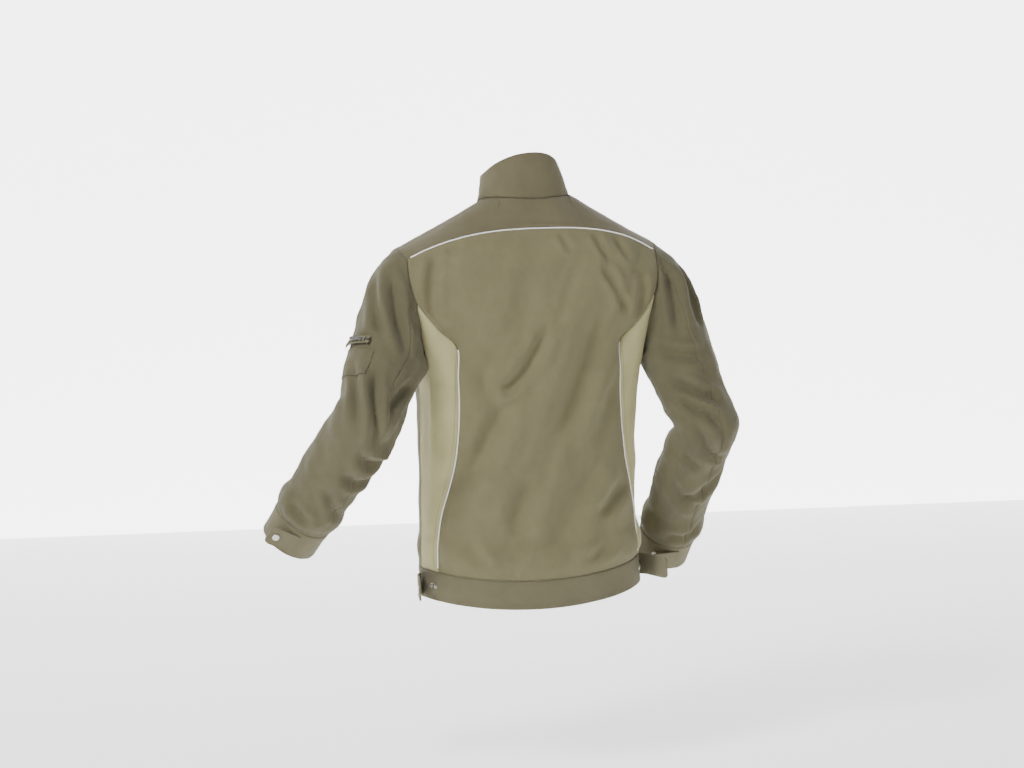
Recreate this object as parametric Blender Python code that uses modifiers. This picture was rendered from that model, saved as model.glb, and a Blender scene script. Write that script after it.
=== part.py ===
"""A hip-length work jacket with a stand collar, as separate sewn and fastened pieces.

Metres, +Z up. The wearer faces -Y and the wearer's left is +X. The origin is the middle of the
back neck seam, where the hanger loop is sewn. The sleeves hang bent, as on a standing wearer.
"""

import math

import bmesh
import bpy
import numpy as np
from mathutils import Matrix

NAME = "jacket"

# sewn gaps and cloth thicknesses
SEAM_GAP = 0.0006
CLOTH = 0.0016
DOUBLE_CLOTH = 0.0030
COLLAR_THICK = 0.0030
PATCH_GAP = 0.0009

# torso heights
HEM_Z = -0.678
BAND_Z = -0.630
BAND_HIGH = 0.048
SIDE_RISE = 0.021
YOKE_Z = -0.049
FRONT_NECK_Z = -0.060

# side seam, which is also where each front swings
SIDE_SEAM_Y = -0.115
SWING_X = 0.1995
ARMHOLE_FRONT_Z = -0.243

# half grid: cells in each part
ROWS = 12
ROWS_TO_ARMHOLE = 8
BACK_CELLS = 6
SIDE_CELLS = 5
FRONT_CELLS = 7
NECK_CELLS = 2

# the centre front is an arc of a large circle, so that a zip slider can follow it
ARC_POINTS = ((0.040, -0.132), (-0.250, -0.222), (-0.690, -0.248))
FRONT_EDGE_X = 0.0090
ZIP_HALF = 0.0080
ZIP_TOP_Z = 0.034
ZIP_BOTTOM_Z = -0.655
ZIP_STEPS = 18

# height, half width and back middle of the torso
BODY = (
    (-0.700, 0.1965, 0.006),
    (-0.650, 0.1930, 0.003),
    (-0.550, 0.1895, 0.003),
    (-0.450, 0.1860, 0.008),
    (-0.350, 0.1840, 0.016),
    (-0.250, 0.1850, 0.024),
    (-0.170, 0.2000, 0.027),
    (-0.100, 0.2100, 0.024),
    (-0.052, 0.2150, 0.014),
)
# height and half width of the seam between back and side panel
SIDE_PIECE_SEAM = (
    (-0.700, 0.1800),
    (-0.650, 0.1785),
    (-0.570, 0.1760),
    (-0.515, 0.1680),
    (-0.460, 0.1530),
    (-0.400, 0.1440),
    (-0.330, 0.1410),
    (-0.238, 0.1430),
)
PANEL_CORNER_Z = -0.238

# left armhole, from the side panel's point up the back, over the shoulder and down the front
BACK_ARMHOLE = (
    (0.176, -0.010, -0.206),
    (0.206, -0.014, -0.165),
    (0.216, -0.018, -0.128),
    (0.216, -0.030, -0.092),
)
SHOULDER_ARMHOLE = (
    (0.216, -0.030, -0.092),
    (0.222, -0.050, -0.080),
    (0.225, -0.070, -0.075),
    (0.225, -0.090, -0.076),
    (0.219, -0.109, -0.086),
    (0.209, -0.125, -0.104),
)
FRONT_ARMHOLE = (
    (0.186, -0.137, -0.208),
    (0.189, -0.147, -0.172),
    (0.198, -0.141, -0.138),
    (0.209, -0.125, -0.104),
)
UNDERARM = ((0.187, -0.034, -0.224), (0.1865, -0.076, -0.256))

# left neck seam, from the back middle round to the centre front
NECK_SEAM = (
    (0.000, 0.000, 0.000),
    (0.034, -0.003, 0.002),
    (0.061, -0.020, 0.004),
    (0.077, -0.054, 0.003),
    (0.077, -0.084, -0.008),
    (0.069, -0.108, -0.026),
    (0.053, -0.132, -0.045),
    (0.031, -0.155, -0.056),
)
# left edge of the collar's top, in step with the neck seam
COLLAR_TOP = (
    (0.000, 0.004, 0.075),
    (0.029, 0.000, 0.073),
    (0.051, -0.017, 0.066),
    (0.062, -0.046, 0.055),
    (0.062, -0.076, 0.048),
    (0.056, -0.099, 0.043),
    (0.045, -0.116, 0.039),
    (0.028, -0.127, 0.036),
)

# sleeves: the rings' centres, how far each leans, and their radii
LEFT_ELBOW = (0.298, -0.010, -0.345)
LEFT_WRIST = (0.411, -0.136, -0.547)
RIGHT_ELBOW = (-0.290, -0.012, -0.390)
RIGHT_WRIST = (-0.262, -0.166, -0.627)
HEAD_RING = (0.2465, -0.050, -0.238)
RING_LEAN = 0.50
RING_OUT_R = 0.0670
RING_R = 0.0640
ELBOW_R = 0.0560
FOREARM_R = 0.0550
WRIST_R = 0.0475
ELBOW_HALF = 0.047
CUFF_LENGTH = 0.050
SLEEVE_SHIFT = 0.0014
# how far the front panel's shoulder edge is lowered, so that it clears the yoke as the front opens
SHOULDER_CLEARANCE = (0.0045, 0.0030, 0.0018, 0.0008)

# straps and snaps
CAP_R = 0.0060
CAP_HIGH = 0.0016
STUD_R = 0.0045
STUD_HIGH = 0.0013
HEM_STRAP = (0.078, 0.036, 0.0024)
HEM_STRAP_TURN = 12
HEM_STRAP_Z = -0.634
CUFF_STRAP = (0.052, 0.034, 0.0022)

# the zip sliders and their pulls
SLIDER_LENGTH = 0.013
PULL_LENGTH = 0.026
PULL_WIDE = 0.0064
PULL_THICK = 0.0012
BAR_R = 0.0007

COLOURS = {
    "shell": (0.205, 0.182, 0.108, 1.0),
    "side": (0.330, 0.300, 0.178, 1.0),
    "band": (0.190, 0.170, 0.105, 1.0),
    "piping": (0.620, 0.620, 0.600, 1.0),
    "tape": (0.030, 0.030, 0.028, 1.0),
    "metal": (0.700, 0.700, 0.690, 1.0),
}


def clear_scene():
    for obj in list(bpy.data.objects):
        bpy.data.objects.remove(obj)


def make_collection(name):
    found = bpy.data.collections.new(name)
    bpy.context.scene.collection.children.link(found)
    return found


def material(name, slot, rough=0.8, metallic=0.0):
    made = bpy.data.materials.new(name)
    made.use_nodes = True
    shader = made.node_tree.nodes["Principled BSDF"]
    shader.inputs["Base Color"].default_value = COLOURS[slot]
    shader.inputs["Roughness"].default_value = rough
    shader.inputs["Metallic"].default_value = metallic
    return made


def add_object(name, mesh, slot):
    obj = bpy.data.objects.new(name, mesh)
    metal = 1.0 if slot == "metal" else 0.0
    obj.data.materials.append(material(name, slot, 0.35 if metal else 0.85, metal))
    PARTS.objects.link(obj)
    return obj


def table(rows, z, column):
    heights = [row[0] for row in rows]
    return float(np.interp(z, heights, [row[column] for row in rows]))


def circle_through(points):
    """Centre (y, z) and radius of the circle through three (z, y) points."""
    (z0, y0), (z1, y1), (z2, y2) = points
    left = np.array([[y1 - y0, z1 - z0], [y2 - y0, z2 - z0]]) * 2
    right = np.array([y1**2 - y0**2 + z1**2 - z0**2, y2**2 - y0**2 + z2**2 - z0**2])
    centre = np.linalg.solve(left, right)
    return centre[0], centre[1], math.hypot(y0 - centre[0], z0 - centre[1])


ARC_Y, ARC_Z, ARC_R = circle_through(ARC_POINTS)


def front_y(z):
    return ARC_Y - math.sqrt(ARC_R**2 - (z - ARC_Z) ** 2)


def bezier(p0, p1, p2, p3, count=80):
    t = np.linspace(0, 1, count + 1)[:, None]
    a, b, c, d = (np.array(p, float) for p in (p0, p1, p2, p3))
    return a * (1 - t) ** 3 + 3 * b * t * (1 - t) ** 2 + 3 * c * t**2 * (1 - t) + d * t**3


def spread(line, cells):
    """The line's points again, evenly spaced along it."""
    steps = np.r_[0, np.cumsum(np.linalg.norm(np.diff(line, axis=0), axis=1))]
    at = np.linspace(0, steps[-1], cells + 1)
    return np.stack([np.interp(at, steps, line[:, k]) for k in range(3)], axis=1)


def back_quarter(z):
    """The lower torso's outline from the back middle to the side seam."""
    half, back = table(BODY, z, 1), table(BODY, z, 2)
    reach = back - SIDE_SEAM_Y
    ends = (0, back, z), (half * 0.66, back, z), (half, SIDE_SEAM_Y + reach * 0.62, z), (half, SIDE_SEAM_Y, z)
    return bezier(*ends)


def split_at_seam(z):
    line = back_quarter(z)
    seam = table(SIDE_PIECE_SEAM, z, 1)
    cut = int(np.searchsorted(line[:, 0], seam))
    share = (seam - line[cut - 1, 0]) / (line[cut, 0] - line[cut - 1, 0])
    point = line[cut - 1] + share * (line[cut] - line[cut - 1])
    return np.vstack([line[:cut], point]), np.vstack([point, line[cut:]])


def hem_rise(rows):
    """Lift the lower rows towards the side seam, since the back of the hem dips."""
    for k in range(ROWS_TO_ARMHOLE + 1):
        share = np.minimum(np.abs(rows[k][:, 0]) / 0.19, 1) ** 2
        rows[k][:, 2] += SIDE_RISE * share * (1 - k / ROWS_TO_ARMHOLE)
    return rows


def back_rows():
    rows = []
    for k in range(ROWS_TO_ARMHOLE + 1):
        z = BAND_Z + (PANEL_CORNER_Z - BAND_Z) * k / ROWS_TO_ARMHOLE
        rows.append(spread(split_at_seam(z)[0], BACK_CELLS))
    for k, end in enumerate(BACK_ARMHOLE):
        middle_z = PANEL_CORNER_Z + (YOKE_Z - PANEL_CORNER_Z) * (k + 1) / len(BACK_ARMHOLE)
        back = table(BODY, middle_z, 2)
        line = bezier((0, back), (end[0] * 0.6, back), (end[0] - 0.040, (end[1] * 2 + back) / 3), end[:2])
        across = (line[:, 0] / end[0]) ** 2.8
        line = np.c_[line, middle_z + (end[2] - middle_z) * across]
        rows.append(spread(line, BACK_CELLS))
    return hem_rise(np.array(rows))


def side_rows():
    """Side panel, from the back seam to the side seam."""
    top = np.array([rows_of_back()[8][-1], BACK_ARMHOLE[0], BACK_ARMHOLE[1], *UNDERARM, hinge_top()])
    rows = []
    for k in range(ROWS_TO_ARMHOLE + 1):
        z = BAND_Z + (PANEL_CORNER_Z - BAND_Z) * k / ROWS_TO_ARMHOLE
        row = spread(split_at_seam(z)[1], SIDE_CELLS)
        row[:, 2] += (np.linspace(0, 1, SIDE_CELLS + 1)) * (ARMHOLE_FRONT_Z - PANEL_CORNER_Z) * k / 8
        rows.append(row)
    rows = hem_rise(np.array(rows))
    lift = top - rows[-1]
    for k in range(ROWS_TO_ARMHOLE + 1):
        rows[k] += lift * (k / ROWS_TO_ARMHOLE) ** 3
    return rows


def hinge_top():
    return (table(BODY, ARMHOLE_FRONT_Z, 1), SIDE_SEAM_Y, ARMHOLE_FRONT_Z)


_CACHE = {}


def rows_of_back():
    if "back" not in _CACHE:
        _CACHE["back"] = back_rows()
    return _CACHE["back"]


def front_row(outer, inner, turn, reach):
    """A front row from its outer end, leaving it at turn degrees from straight forward."""
    deep = abs(outer[1] - inner[1]) * reach + 0.012
    heading = (-math.sin(math.radians(turn)) * deep, -math.cos(math.radians(turn)) * deep)
    line = bezier(outer[:2], (outer[0] + heading[0], outer[1] + heading[1]),
                  (inner[0] + (outer[0] - inner[0]) * 0.55, inner[1]), inner[:2])
    share = np.linspace(0, 1, len(line))
    line = np.c_[line, outer[2] + (inner[2] - outer[2]) * share]
    return spread(line, FRONT_CELLS)


def front_rows():
    """Front panel, from the side seam or armhole to the centre front."""
    rows = []
    for k in range(ROWS + 1):
        low = BAND_Z + SIDE_RISE
        inner_z = low + (FRONT_NECK_Z - low) * k / ROWS
        inner = (FRONT_EDGE_X, front_y(inner_z), inner_z)
        if k <= ROWS_TO_ARMHOLE:
            z = low + (ARMHOLE_FRONT_Z - low) * k / ROWS_TO_ARMHOLE
            rows.append(front_row((table(BODY, z, 1), SIDE_SEAM_Y, z), inner, 0, 0.60))
        else:
            turn = (k - ROWS_TO_ARMHOLE) * 20
            rows.append(front_row(FRONT_ARMHOLE[k - ROWS_TO_ARMHOLE - 1], inner, turn, 0.45))
    rows = np.array(rows)
    shoulder = np.linspace(SHOULDER_ARMHOLE[-1], NECK_SEAM[5], 5)
    neck = [NECK_SEAM[6], NECK_SEAM[7], rows[-1][-1]]
    lift = np.vstack([shoulder, neck]) - rows[-1]
    for k in range(ROWS_TO_ARMHOLE, ROWS + 1):
        rows[k] += lift * ((k - ROWS_TO_ARMHOLE) / (ROWS - ROWS_TO_ARMHOLE)) ** 2
    return rows


def yoke_grids():
    """The middle of the yoke as far as the neck, then its shoulder."""
    seam = rows_of_back()[-1]
    neck = np.array(NECK_SEAM)
    middle = np.array([seam[:3], (seam[:3] + neck[:3]) / 2 + np.array([0, 0.002, 0.001]), neck[:3]])
    inner = [seam[2], middle[1][2], neck[2], neck[3], neck[4], neck[5]]
    rows = []
    for k, outer in enumerate(SHOULDER_ARMHOLE):
        row = np.linspace(inner[k], outer, 5)
        rows.append(row)
    rows[0] = seam[2:]
    blend = rows[0] - np.linspace(inner[0], SHOULDER_ARMHOLE[0], 5)
    rows[1] += blend * 0.5
    return middle, np.array(rows)


def band_rows(upper):
    """The hem band under a row of seam points."""
    lower = []
    for x, y, z in upper:
        out = table(BODY, z - BAND_HIGH, 1) / table(BODY, z, 1)
        forward = front_y(z - BAND_HIGH) - front_y(z) if y < SIDE_SEAM_Y else 0.0
        lower.append((x * out if x > FRONT_EDGE_X + 1e-6 else x, y + forward, z - BAND_HIGH))
    return np.array([lower, upper])


def mirrored(grid):
    return np.array(grid) * np.array([-1, 1, 1])


def mesh_of(grids):
    """One mesh of all the grids' cells, with shared points joined."""
    work = bmesh.new()
    for grid in grids:
        points = [[work.verts.new(tuple(p)) for p in row] for row in grid]
        for r in range(len(points) - 1):
            for c in range(len(points[r]) - 1):
                corners = points[r][c], points[r][c + 1], points[r + 1][c + 1], points[r + 1][c]
                work.faces.new(corners)
    bmesh.ops.remove_doubles(work, verts=work.verts, dist=2e-5)
    bmesh.ops.recalc_face_normals(work, faces=work.faces)
    return work


def face_outwards(work, inside):
    total = 0.0
    for face in work.faces:
        away = face.calc_center_median() - inside(face.calc_center_median())
        total += face.normal.dot(away) * face.calc_area()
    if total < 0:
        bmesh.ops.reverse_faces(work, faces=work.faces)
    work.normal_update()


def inset_border(work, gap):
    """Move the open edges inwards along the cloth by the gap."""
    shifts = {}
    for edge in work.edges:
        if len(edge.link_faces) != 1:
            continue
        face = edge.link_faces[0]
        along = (edge.verts[1].co - edge.verts[0].co).normalized()
        inward = face.normal.cross(along).normalized()
        if inward.dot(face.calc_center_median() - edge.verts[0].co) < 0:
            inward.negate()
        for vert in edge.verts:
            shifts.setdefault(vert, []).append(inward)
    for vert, ways in shifts.items():
        if len(ways) == 2:
            vert.co += (ways[0] + ways[1]) * (gap / max(0.35, 1 + ways[0].dot(ways[1])))
        else:
            vert.co += ways[0] * gap


def cloth(name, grids, slot, inside, thick=CLOTH, gap=SEAM_GAP, lift=0.0):
    """A sewn piece: its outer face from the grids, thickened inwards."""
    work = mesh_of(grids)
    face_outwards(work, inside)
    if lift:
        moves = [(v, v.normal * lift) for v in work.verts]
        for vert, move in moves:
            vert.co += move
        work.normal_update()
    inset_border(work, gap)
    mesh = bpy.data.meshes.new(name)
    work.to_mesh(mesh)
    work.free()
    obj = add_object(name, mesh, slot)
    solid = obj.modifiers.new("thickness", "SOLIDIFY")
    solid.thickness = thick
    solid.offset = -1
    solid.use_even_offset = True
    return obj


def torso_inside(point):
    from_axis = -0.100 if point.z < -0.12 else -0.080
    height = min(point.z, -0.13)
    return type(point)((0, from_axis, height))


def sided(name, side):
    return f"{name}_{'left' if side > 0 else 'right'}"


def on_side(grid, side):
    return np.array(grid) if side > 0 else mirrored(grid)


def make_torso():
    back = rows_of_back()
    side = side_rows()
    middle, shoulder = yoke_grids()
    cloth("back_panel", [back, mirrored(back)], "shell", torso_inside)
    yoke = [middle, mirrored(middle), shoulder, mirrored(shoulder)]
    cloth("back_yoke", yoke, "shell", torso_inside)
    for way in (1, -1):
        cloth(sided("side_panel", way), [on_side(side, way)], "side", torso_inside)
    around = np.vstack([back[0], side[0][1:]])
    band = band_rows(around)
    cloth("waistband_back", [band, mirrored(band)], "band", torso_inside, DOUBLE_CLOTH)


def neck_axis(point):
    """The middle of the neck at the point's height."""
    return type(point)((0, -0.075, point.z))


def make_collar():
    seam = np.array([*NECK_SEAM, (FRONT_EDGE_X, front_y(FRONT_NECK_Z), FRONT_NECK_Z)])
    top_z = ZIP_TOP_Z
    top = np.array([*COLLAR_TOP, (FRONT_EDGE_X, front_y(top_z), top_z)])
    rows = []
    for share in (0, 0.5, 1):
        row = seam + (top - seam) * share
        row[1:-1, 1] += 0.003 * math.sin(math.pi * share)
        rows.append(row)
    rows = np.array(rows)
    rows[1][-1, 1] = front_y(rows[1][-1, 2])
    cloth("collar", [rows, mirrored(rows)], "shell", neck_axis, COLLAR_THICK, SEAM_GAP)


def cell_centre(grid, row, column):
    return (grid[row][column] + grid[row + 1][column] + grid[row][column + 1] + grid[row + 1][column + 1]) / 4


def cell_spot(grid, row, column, up, along):
    low = grid[row][column] * (1 - along) + grid[row][column + 1] * along
    high = grid[row + 1][column] * (1 - along) + grid[row + 1][column + 1] * along
    return low * (1 - up) + high * up


def cell_normal(grid, row, column, inside):
    a = grid[row + 1][column + 1] - grid[row][column]
    b = grid[row + 1][column] - grid[row][column + 1]
    normal = np.cross(a, b)
    normal /= np.linalg.norm(normal)
    centre = cell_centre(grid, row, column)
    away = centre - np.array(inside)
    return normal if normal @ away > 0 else -normal


def frame_at(point, normal, up=(0, 0, 1)):
    """A matrix that puts Z along the normal, with Y as near to up as it can be."""
    z = np.array(normal, float) / np.linalg.norm(normal)
    x = np.cross(np.array(up, float), z)
    x /= np.linalg.norm(x)
    y = np.cross(z, x)
    made = np.eye(4)
    made[:3, 0], made[:3, 1], made[:3, 2], made[:3, 3] = x, y, z, point
    return made


def placed(obj, matrix):
    obj.matrix_world = Matrix(matrix.tolist())
    return obj


def snap(name, point, normal, radius, high, up=(0, 0, 1)):
    """A low round snap with a raised rim, turned about its own axis."""
    rim = [(radius * 0.92, 0), (radius, high * 0.3), (radius * 0.9, high)]
    profile = [(0, 0), *rim, (radius * 0.5, high * 0.75), (0, high * 0.75)]
    work = bmesh.new()
    verts = [work.verts.new((r, 0, z)) for r, z in profile]
    for a, b in zip(verts, verts[1:]):
        work.edges.new((b, a))
    mesh = bpy.data.meshes.new(name)
    work.to_mesh(mesh)
    work.free()
    obj = add_object(name, mesh, "metal")
    turn = obj.modifiers.new("turned", "SCREW")
    turn.axis = "Z"
    turn.steps = 12
    turn.render_steps = 12
    turn.use_merge_vertices = True
    turn.merge_threshold = 0.00005
    turn.use_normal_calculate = True
    for face in obj.data.polygons:
        face.use_smooth = True
    return placed(obj, frame_at(point, normal, up))


def box_mesh(name, size, bevel=0.0):
    """A box with its back edge at x=0, its middle at y=0 and its underside at z=0."""
    work = bmesh.new()
    bmesh.ops.create_cube(work, size=1)
    for vert in work.verts:
        vert.co.x = (vert.co.x + 0.5) * size[0]
        vert.co.y *= size[1]
        vert.co.z = (vert.co.z + 0.5) * size[2]
    if bevel:
        ends = [e for e in work.edges if abs(e.verts[0].co.z - e.verts[1].co.z) > size[2] * 0.5]
        ends = [e for e in ends if e.verts[0].co.x > 0]
        bmesh.ops.bevel(work, geom=ends, offset=bevel, segments=2, affect="EDGES")
    mesh = bpy.data.meshes.new(name)
    work.to_mesh(mesh)
    work.free()
    return mesh


def make_fronts():
    front = front_rows()
    for way in (1, -1):
        panel = on_side(front, way)
        body = panel.copy()
        body[-1, :4, 2] -= np.array(SHOULDER_CLEARANCE)
        cloth(sided("front_panel", way), [body], "shell", torso_inside)
        band = on_side(band_rows(front[0]), way)
        cloth(sided("waistband_front", way), [band], "band", torso_inside, DOUBLE_CLOTH)
        pocket = panel[7:11, 2:6]
        lift = CLOTH + PATCH_GAP
        cloth(sided("chest_pocket", way), [pocket], "shell", torso_inside, CLOTH, 0.004, lift)
        flap = panel[9:11, 2:6]
        over = lift + CLOTH + STUD_HIGH + 0.0024
        cloth(sided("pocket_flap", way), [flap], "shell", torso_inside, CLOTH, 0.0020, over)
        welt = panel[2:6, 1:3] * 1.0
        welt[:, 1] = welt[:, 0] * 0.45 + welt[:, 1] * 0.55
        cloth(sided("hand_pocket_welt", way), [welt], "shell", torso_inside, CLOTH, 0.002, lift + 0.0006)
        normal = cell_normal(panel, 9, 3, (0, -0.1, -0.3))
        middle = cell_spot(panel, 9, 3, 0.35, 0.5)
        snap(sided("pocket_snap_stud", way), middle + normal * (lift + 0.0010), normal, STUD_R, STUD_HIGH)
        snap(sided("pocket_snap_cap", way), middle + normal * (over + 0.0009), normal, CAP_R, CAP_HIGH)


def zip_angle(z):
    """How far round the centre-front arc a height lies, from level with its centre."""
    return math.asin((z - ARC_Z) / ARC_R)


def arc_sweep(name, profile, radius, first, last, steps, slot):
    """A profile of (x, outward) points swept about its own X axis, from outwards = -Y."""
    work = bmesh.new()
    rings = []
    for k in range(steps + 1):
        angle = first + (last - first) * k / steps
        reach = [(x, radius + out) for x, out in profile]
        rings.append([work.verts.new((x, -r * math.cos(angle), r * math.sin(angle))) for x, r in reach])
    count = len(profile)
    for low, high in zip(rings, rings[1:]):
        for k in range(count):
            work.faces.new((low[k], low[(k + 1) % count], high[(k + 1) % count], high[k]))
    work.faces.new(rings[0])
    work.faces.new(rings[-1])
    bmesh.ops.recalc_face_normals(work, faces=work.faces)
    mesh = bpy.data.meshes.new(name)
    work.to_mesh(mesh)
    work.free()
    return add_object(name, mesh, slot)


def swept(name, profile, low_z, steps, slot, high_z=ZIP_TOP_Z):
    """A profile swept along the centre-front arc between two heights."""
    obj = arc_sweep(name, profile, ARC_R, zip_angle(low_z), zip_angle(high_z), steps, slot)
    obj.location = (0, ARC_Y, ARC_Z)
    return obj


def make_zip():
    """Two tapes with their teeth, the slider on the right one, and its pull."""
    profile = ((0.0004, -0.0026), (0.0024, -0.0026), (0.0024, -0.0018), (ZIP_HALF, -0.0018),
               (ZIP_HALF, -0.0008), (0.0024, -0.0008), (0.0024, 0.0002), (0.0004, 0.0002))
    swept("zipper_left", profile, ZIP_BOTTOM_Z, ZIP_STEPS, "tape")
    shifted = ((-0.0020, -0.0026), (-0.0038, -0.0026), (-0.0038, -0.0018), (-ZIP_HALF, -0.0018),
               (-ZIP_HALF, -0.0008), (-0.0038, -0.0008), (-0.0038, 0.0002), (-0.0020, 0.0002))
    swept("zipper_right", shifted, ZIP_BOTTOM_Z, ZIP_STEPS, "tape")
    top = ZIP_TOP_Z - 0.004
    clamp = ((-0.0004, -0.0042), (-0.0070, -0.0042), (-0.0070, -0.0031), (-0.0016, -0.0031),
             (-0.0016, 0.0007), (-0.0070, 0.0007), (-0.0070, 0.0018), (-0.0004, 0.0018))
    body = swept("zip_slider", clamp, top - SLIDER_LENGTH, 1, "metal", top)
    middle_z = top - SLIDER_LENGTH / 2
    add_arch(body, middle_z)
    make_pull("zip_pull", pull_pivot(middle_z), (0, -1, 0), zip_tilt(middle_z))


def zip_tilt(z):
    return math.degrees(zip_angle(z))


SLIDER_X = -0.0037


def pull_pivot(z):
    reach = ARC_R + 0.0018 + 0.0016
    angle = zip_angle(z)
    return np.array([SLIDER_X, ARC_Y - reach * math.cos(angle), ARC_Z + reach * math.sin(angle)])


def arch_profile(inner_half, outer_half, low, roof, top):
    """An arch seen from its side, as (along, out) points."""
    return ((-outer_half, low), (-outer_half, top), (outer_half, top), (outer_half, low),
            (inner_half, low), (inner_half, roof), (-inner_half, roof), (-inner_half, low))


def add_arch(obj, middle_z):
    """Join a small arch to the slider's face, for the pull to hang in."""
    angle = zip_angle(middle_z)
    reach = ARC_R + 0.0017
    base = np.array([SLIDER_X, ARC_Y - reach * math.cos(angle), ARC_Z + reach * math.sin(angle)])
    out = np.array([0, -math.cos(angle), math.sin(angle)])
    join_arch(obj, base, out)


def join_arch(obj, base, out, along=None, wide=0.0011):
    """Union of the slider's body and its arch, made by a Boolean with a helper mesh."""
    name = obj.name + "_arch"
    across = np.array([1.0, 0, 0]) if along is None else np.cross(along, out)
    up = np.cross(out, across) if along is None else np.array(along)
    work = bmesh.new()
    rings = []
    for offset in (-wide / 2, wide / 2):
        ring = []
        for s, o in arch_profile(0.0019, 0.0032, -0.0004, 0.0028, 0.0039):
            ring.append(work.verts.new(tuple(base + across * offset + up * s + out * o)))
        rings.append(ring)
    count = 8
    for k in range(count):
        work.faces.new((rings[0][k], rings[0][(k + 1) % count], rings[1][(k + 1) % count], rings[1][k]))
    work.faces.new(rings[0])
    work.faces.new(rings[1])
    bmesh.ops.recalc_face_normals(work, faces=work.faces)
    mesh = bpy.data.meshes.new(name)
    work.to_mesh(mesh)
    work.free()
    helper = bpy.data.objects.new(name, mesh)
    helper.hide_render = True
    helper.display_type = "WIRE"
    HELPERS.objects.link(helper)
    union = obj.modifiers.new("arch", "BOOLEAN")
    union.operation = "UNION"
    union.solver = "EXACT"
    union.object = helper


def make_pull(name, pivot, out, tilt=0.0, along=None, length=PULL_LENGTH):
    """A flat pull with a slot at its head; its crossbar lies on the pivot."""
    half = PULL_WIDE / 2
    bar, slot_end = BAR_R, 0.0062
    hole = 0.0016
    xs = (-half, -hole, hole, half)
    ys = (bar, -bar, -slot_end, -length * 0.85, -length)
    work = bmesh.new()
    front = {}
    for i, x in enumerate(xs):
        for j, y in enumerate(ys):
            squeeze = 0.55 if j == len(ys) - 1 else 1.0
            for k, z in enumerate((-PULL_THICK / 2, PULL_THICK / 2)):
                front[i, j, k] = work.verts.new((x * squeeze, y, z))
    for i in range(3):
        for j in range(4):
            if (i, j) == (1, 1):
                continue
            for k in (0, 1):
                near, far = (front[i, j, k], front[i + 1, j, k]), (front[i + 1, j + 1, k], front[i, j + 1, k])
                work.faces.new([*near, *far])
    edge_cells = [(i, 0, i + 1, 0) for i in range(3)] + [(i, 4, i + 1, 4) for i in range(3)]
    edge_cells += [(0, j, 0, j + 1) for j in range(4)] + [(3, j, 3, j + 1) for j in range(4)]
    edge_cells += [(1, 1, 2, 1), (1, 2, 2, 2), (1, 1, 1, 2), (2, 1, 2, 2)]
    for i, j, m, n in edge_cells:
        work.faces.new([front[i, j, 0], front[m, n, 0], front[m, n, 1], front[i, j, 1]])
    bmesh.ops.recalc_face_normals(work, faces=work.faces)
    mesh = bpy.data.meshes.new(name)
    work.to_mesh(mesh)
    work.free()
    obj = add_object(name, mesh, "metal")
    angle = math.radians(tilt)
    if along is None:
        out = (0, -math.cos(angle), math.sin(angle))
        along = (0, math.sin(angle), math.cos(angle))
    return placed(obj, frame_at(pivot, out, along))


def unit(v):
    return np.array(v, float) / np.linalg.norm(v)


def armhole_loop(way):
    loop = [BACK_ARMHOLE[1], BACK_ARMHOLE[2], *SHOULDER_ARMHOLE, *FRONT_ARMHOLE[2::-1]]
    loop += [hinge_top(), UNDERARM[1], UNDERARM[0]]
    loop = np.array(loop)
    loop[:, 0] += SLEEVE_SHIFT
    return loop * np.array([way, 1, 1])


LOOP_COUNT = 14


def ring(centre, normal, r_out, r_back, way):
    """Points round the sleeve in step with the armhole loop: outwards first, then the back."""
    n = unit(normal)
    u = np.array([way, 0.0, 0.0]) - way * n[0] * n
    u = unit(u)
    v = way * np.cross(u, n)
    turns = [(4.5 - j) * 2 * math.pi / LOOP_COUNT for j in range(LOOP_COUNT)]
    return np.array([np.array(centre) + u * r_out * math.cos(a) + v * r_back * math.sin(a) for a in turns])


def closed(rows):
    rows = np.array(rows)
    return np.concatenate([rows, rows[:, :1]], axis=1)


def sleeve_path(way):
    elbow = np.array(LEFT_ELBOW if way > 0 else RIGHT_ELBOW)
    wrist = np.array(LEFT_WRIST if way > 0 else RIGHT_WRIST)
    top = np.array(HEAD_RING) * np.array([way, 1, 1])
    return top, elbow, wrist


def head_rows(way):
    top, elbow, _ = sleeve_path(way)
    loop = armhole_loop(way)
    first = ring(top, (RING_LEAN * way, 0.10, -0.79), RING_OUT_R, RING_R, way)
    down = unit(elbow - top)
    rows = []
    for t in (0, 1 / 3, 2 / 3, 1):
        h00, h10 = 2 * t**3 - 3 * t**2 + 1, t**3 - 2 * t**2 + t
        h01, h11 = -2 * t**3 + 3 * t**2, t**3 - t**2
        row = []
        for j in range(LOOP_COUNT):
            far = np.linalg.norm(first[j] - loop[j])
            leave = unit(np.array([way * 1.0, 0, 0]) * 0.8 + down * 0.45)
            row.append(loop[j] * h00 + leave * far * h10 + first[j] * h01 + down * far * h11)
        rows.append(row)
    return np.array(rows)


def upper_rows(way):
    top, elbow, wrist = sleeve_path(way)
    down = unit(elbow - top)
    last = elbow - down * ELBOW_HALF
    lean = np.array([RING_LEAN * way, 0.10, -0.79])
    rows = []
    for k in range(4):
        t = k / 3
        normal = unit(lean) * (1 - t) + down * t
        r_out = RING_OUT_R + (ELBOW_R - RING_OUT_R) * t
        r_back = RING_R + (ELBOW_R - RING_R) * t
        rows.append(ring(top + (last - top) * t, normal, r_out, r_back, way))
    return np.array(rows)


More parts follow.
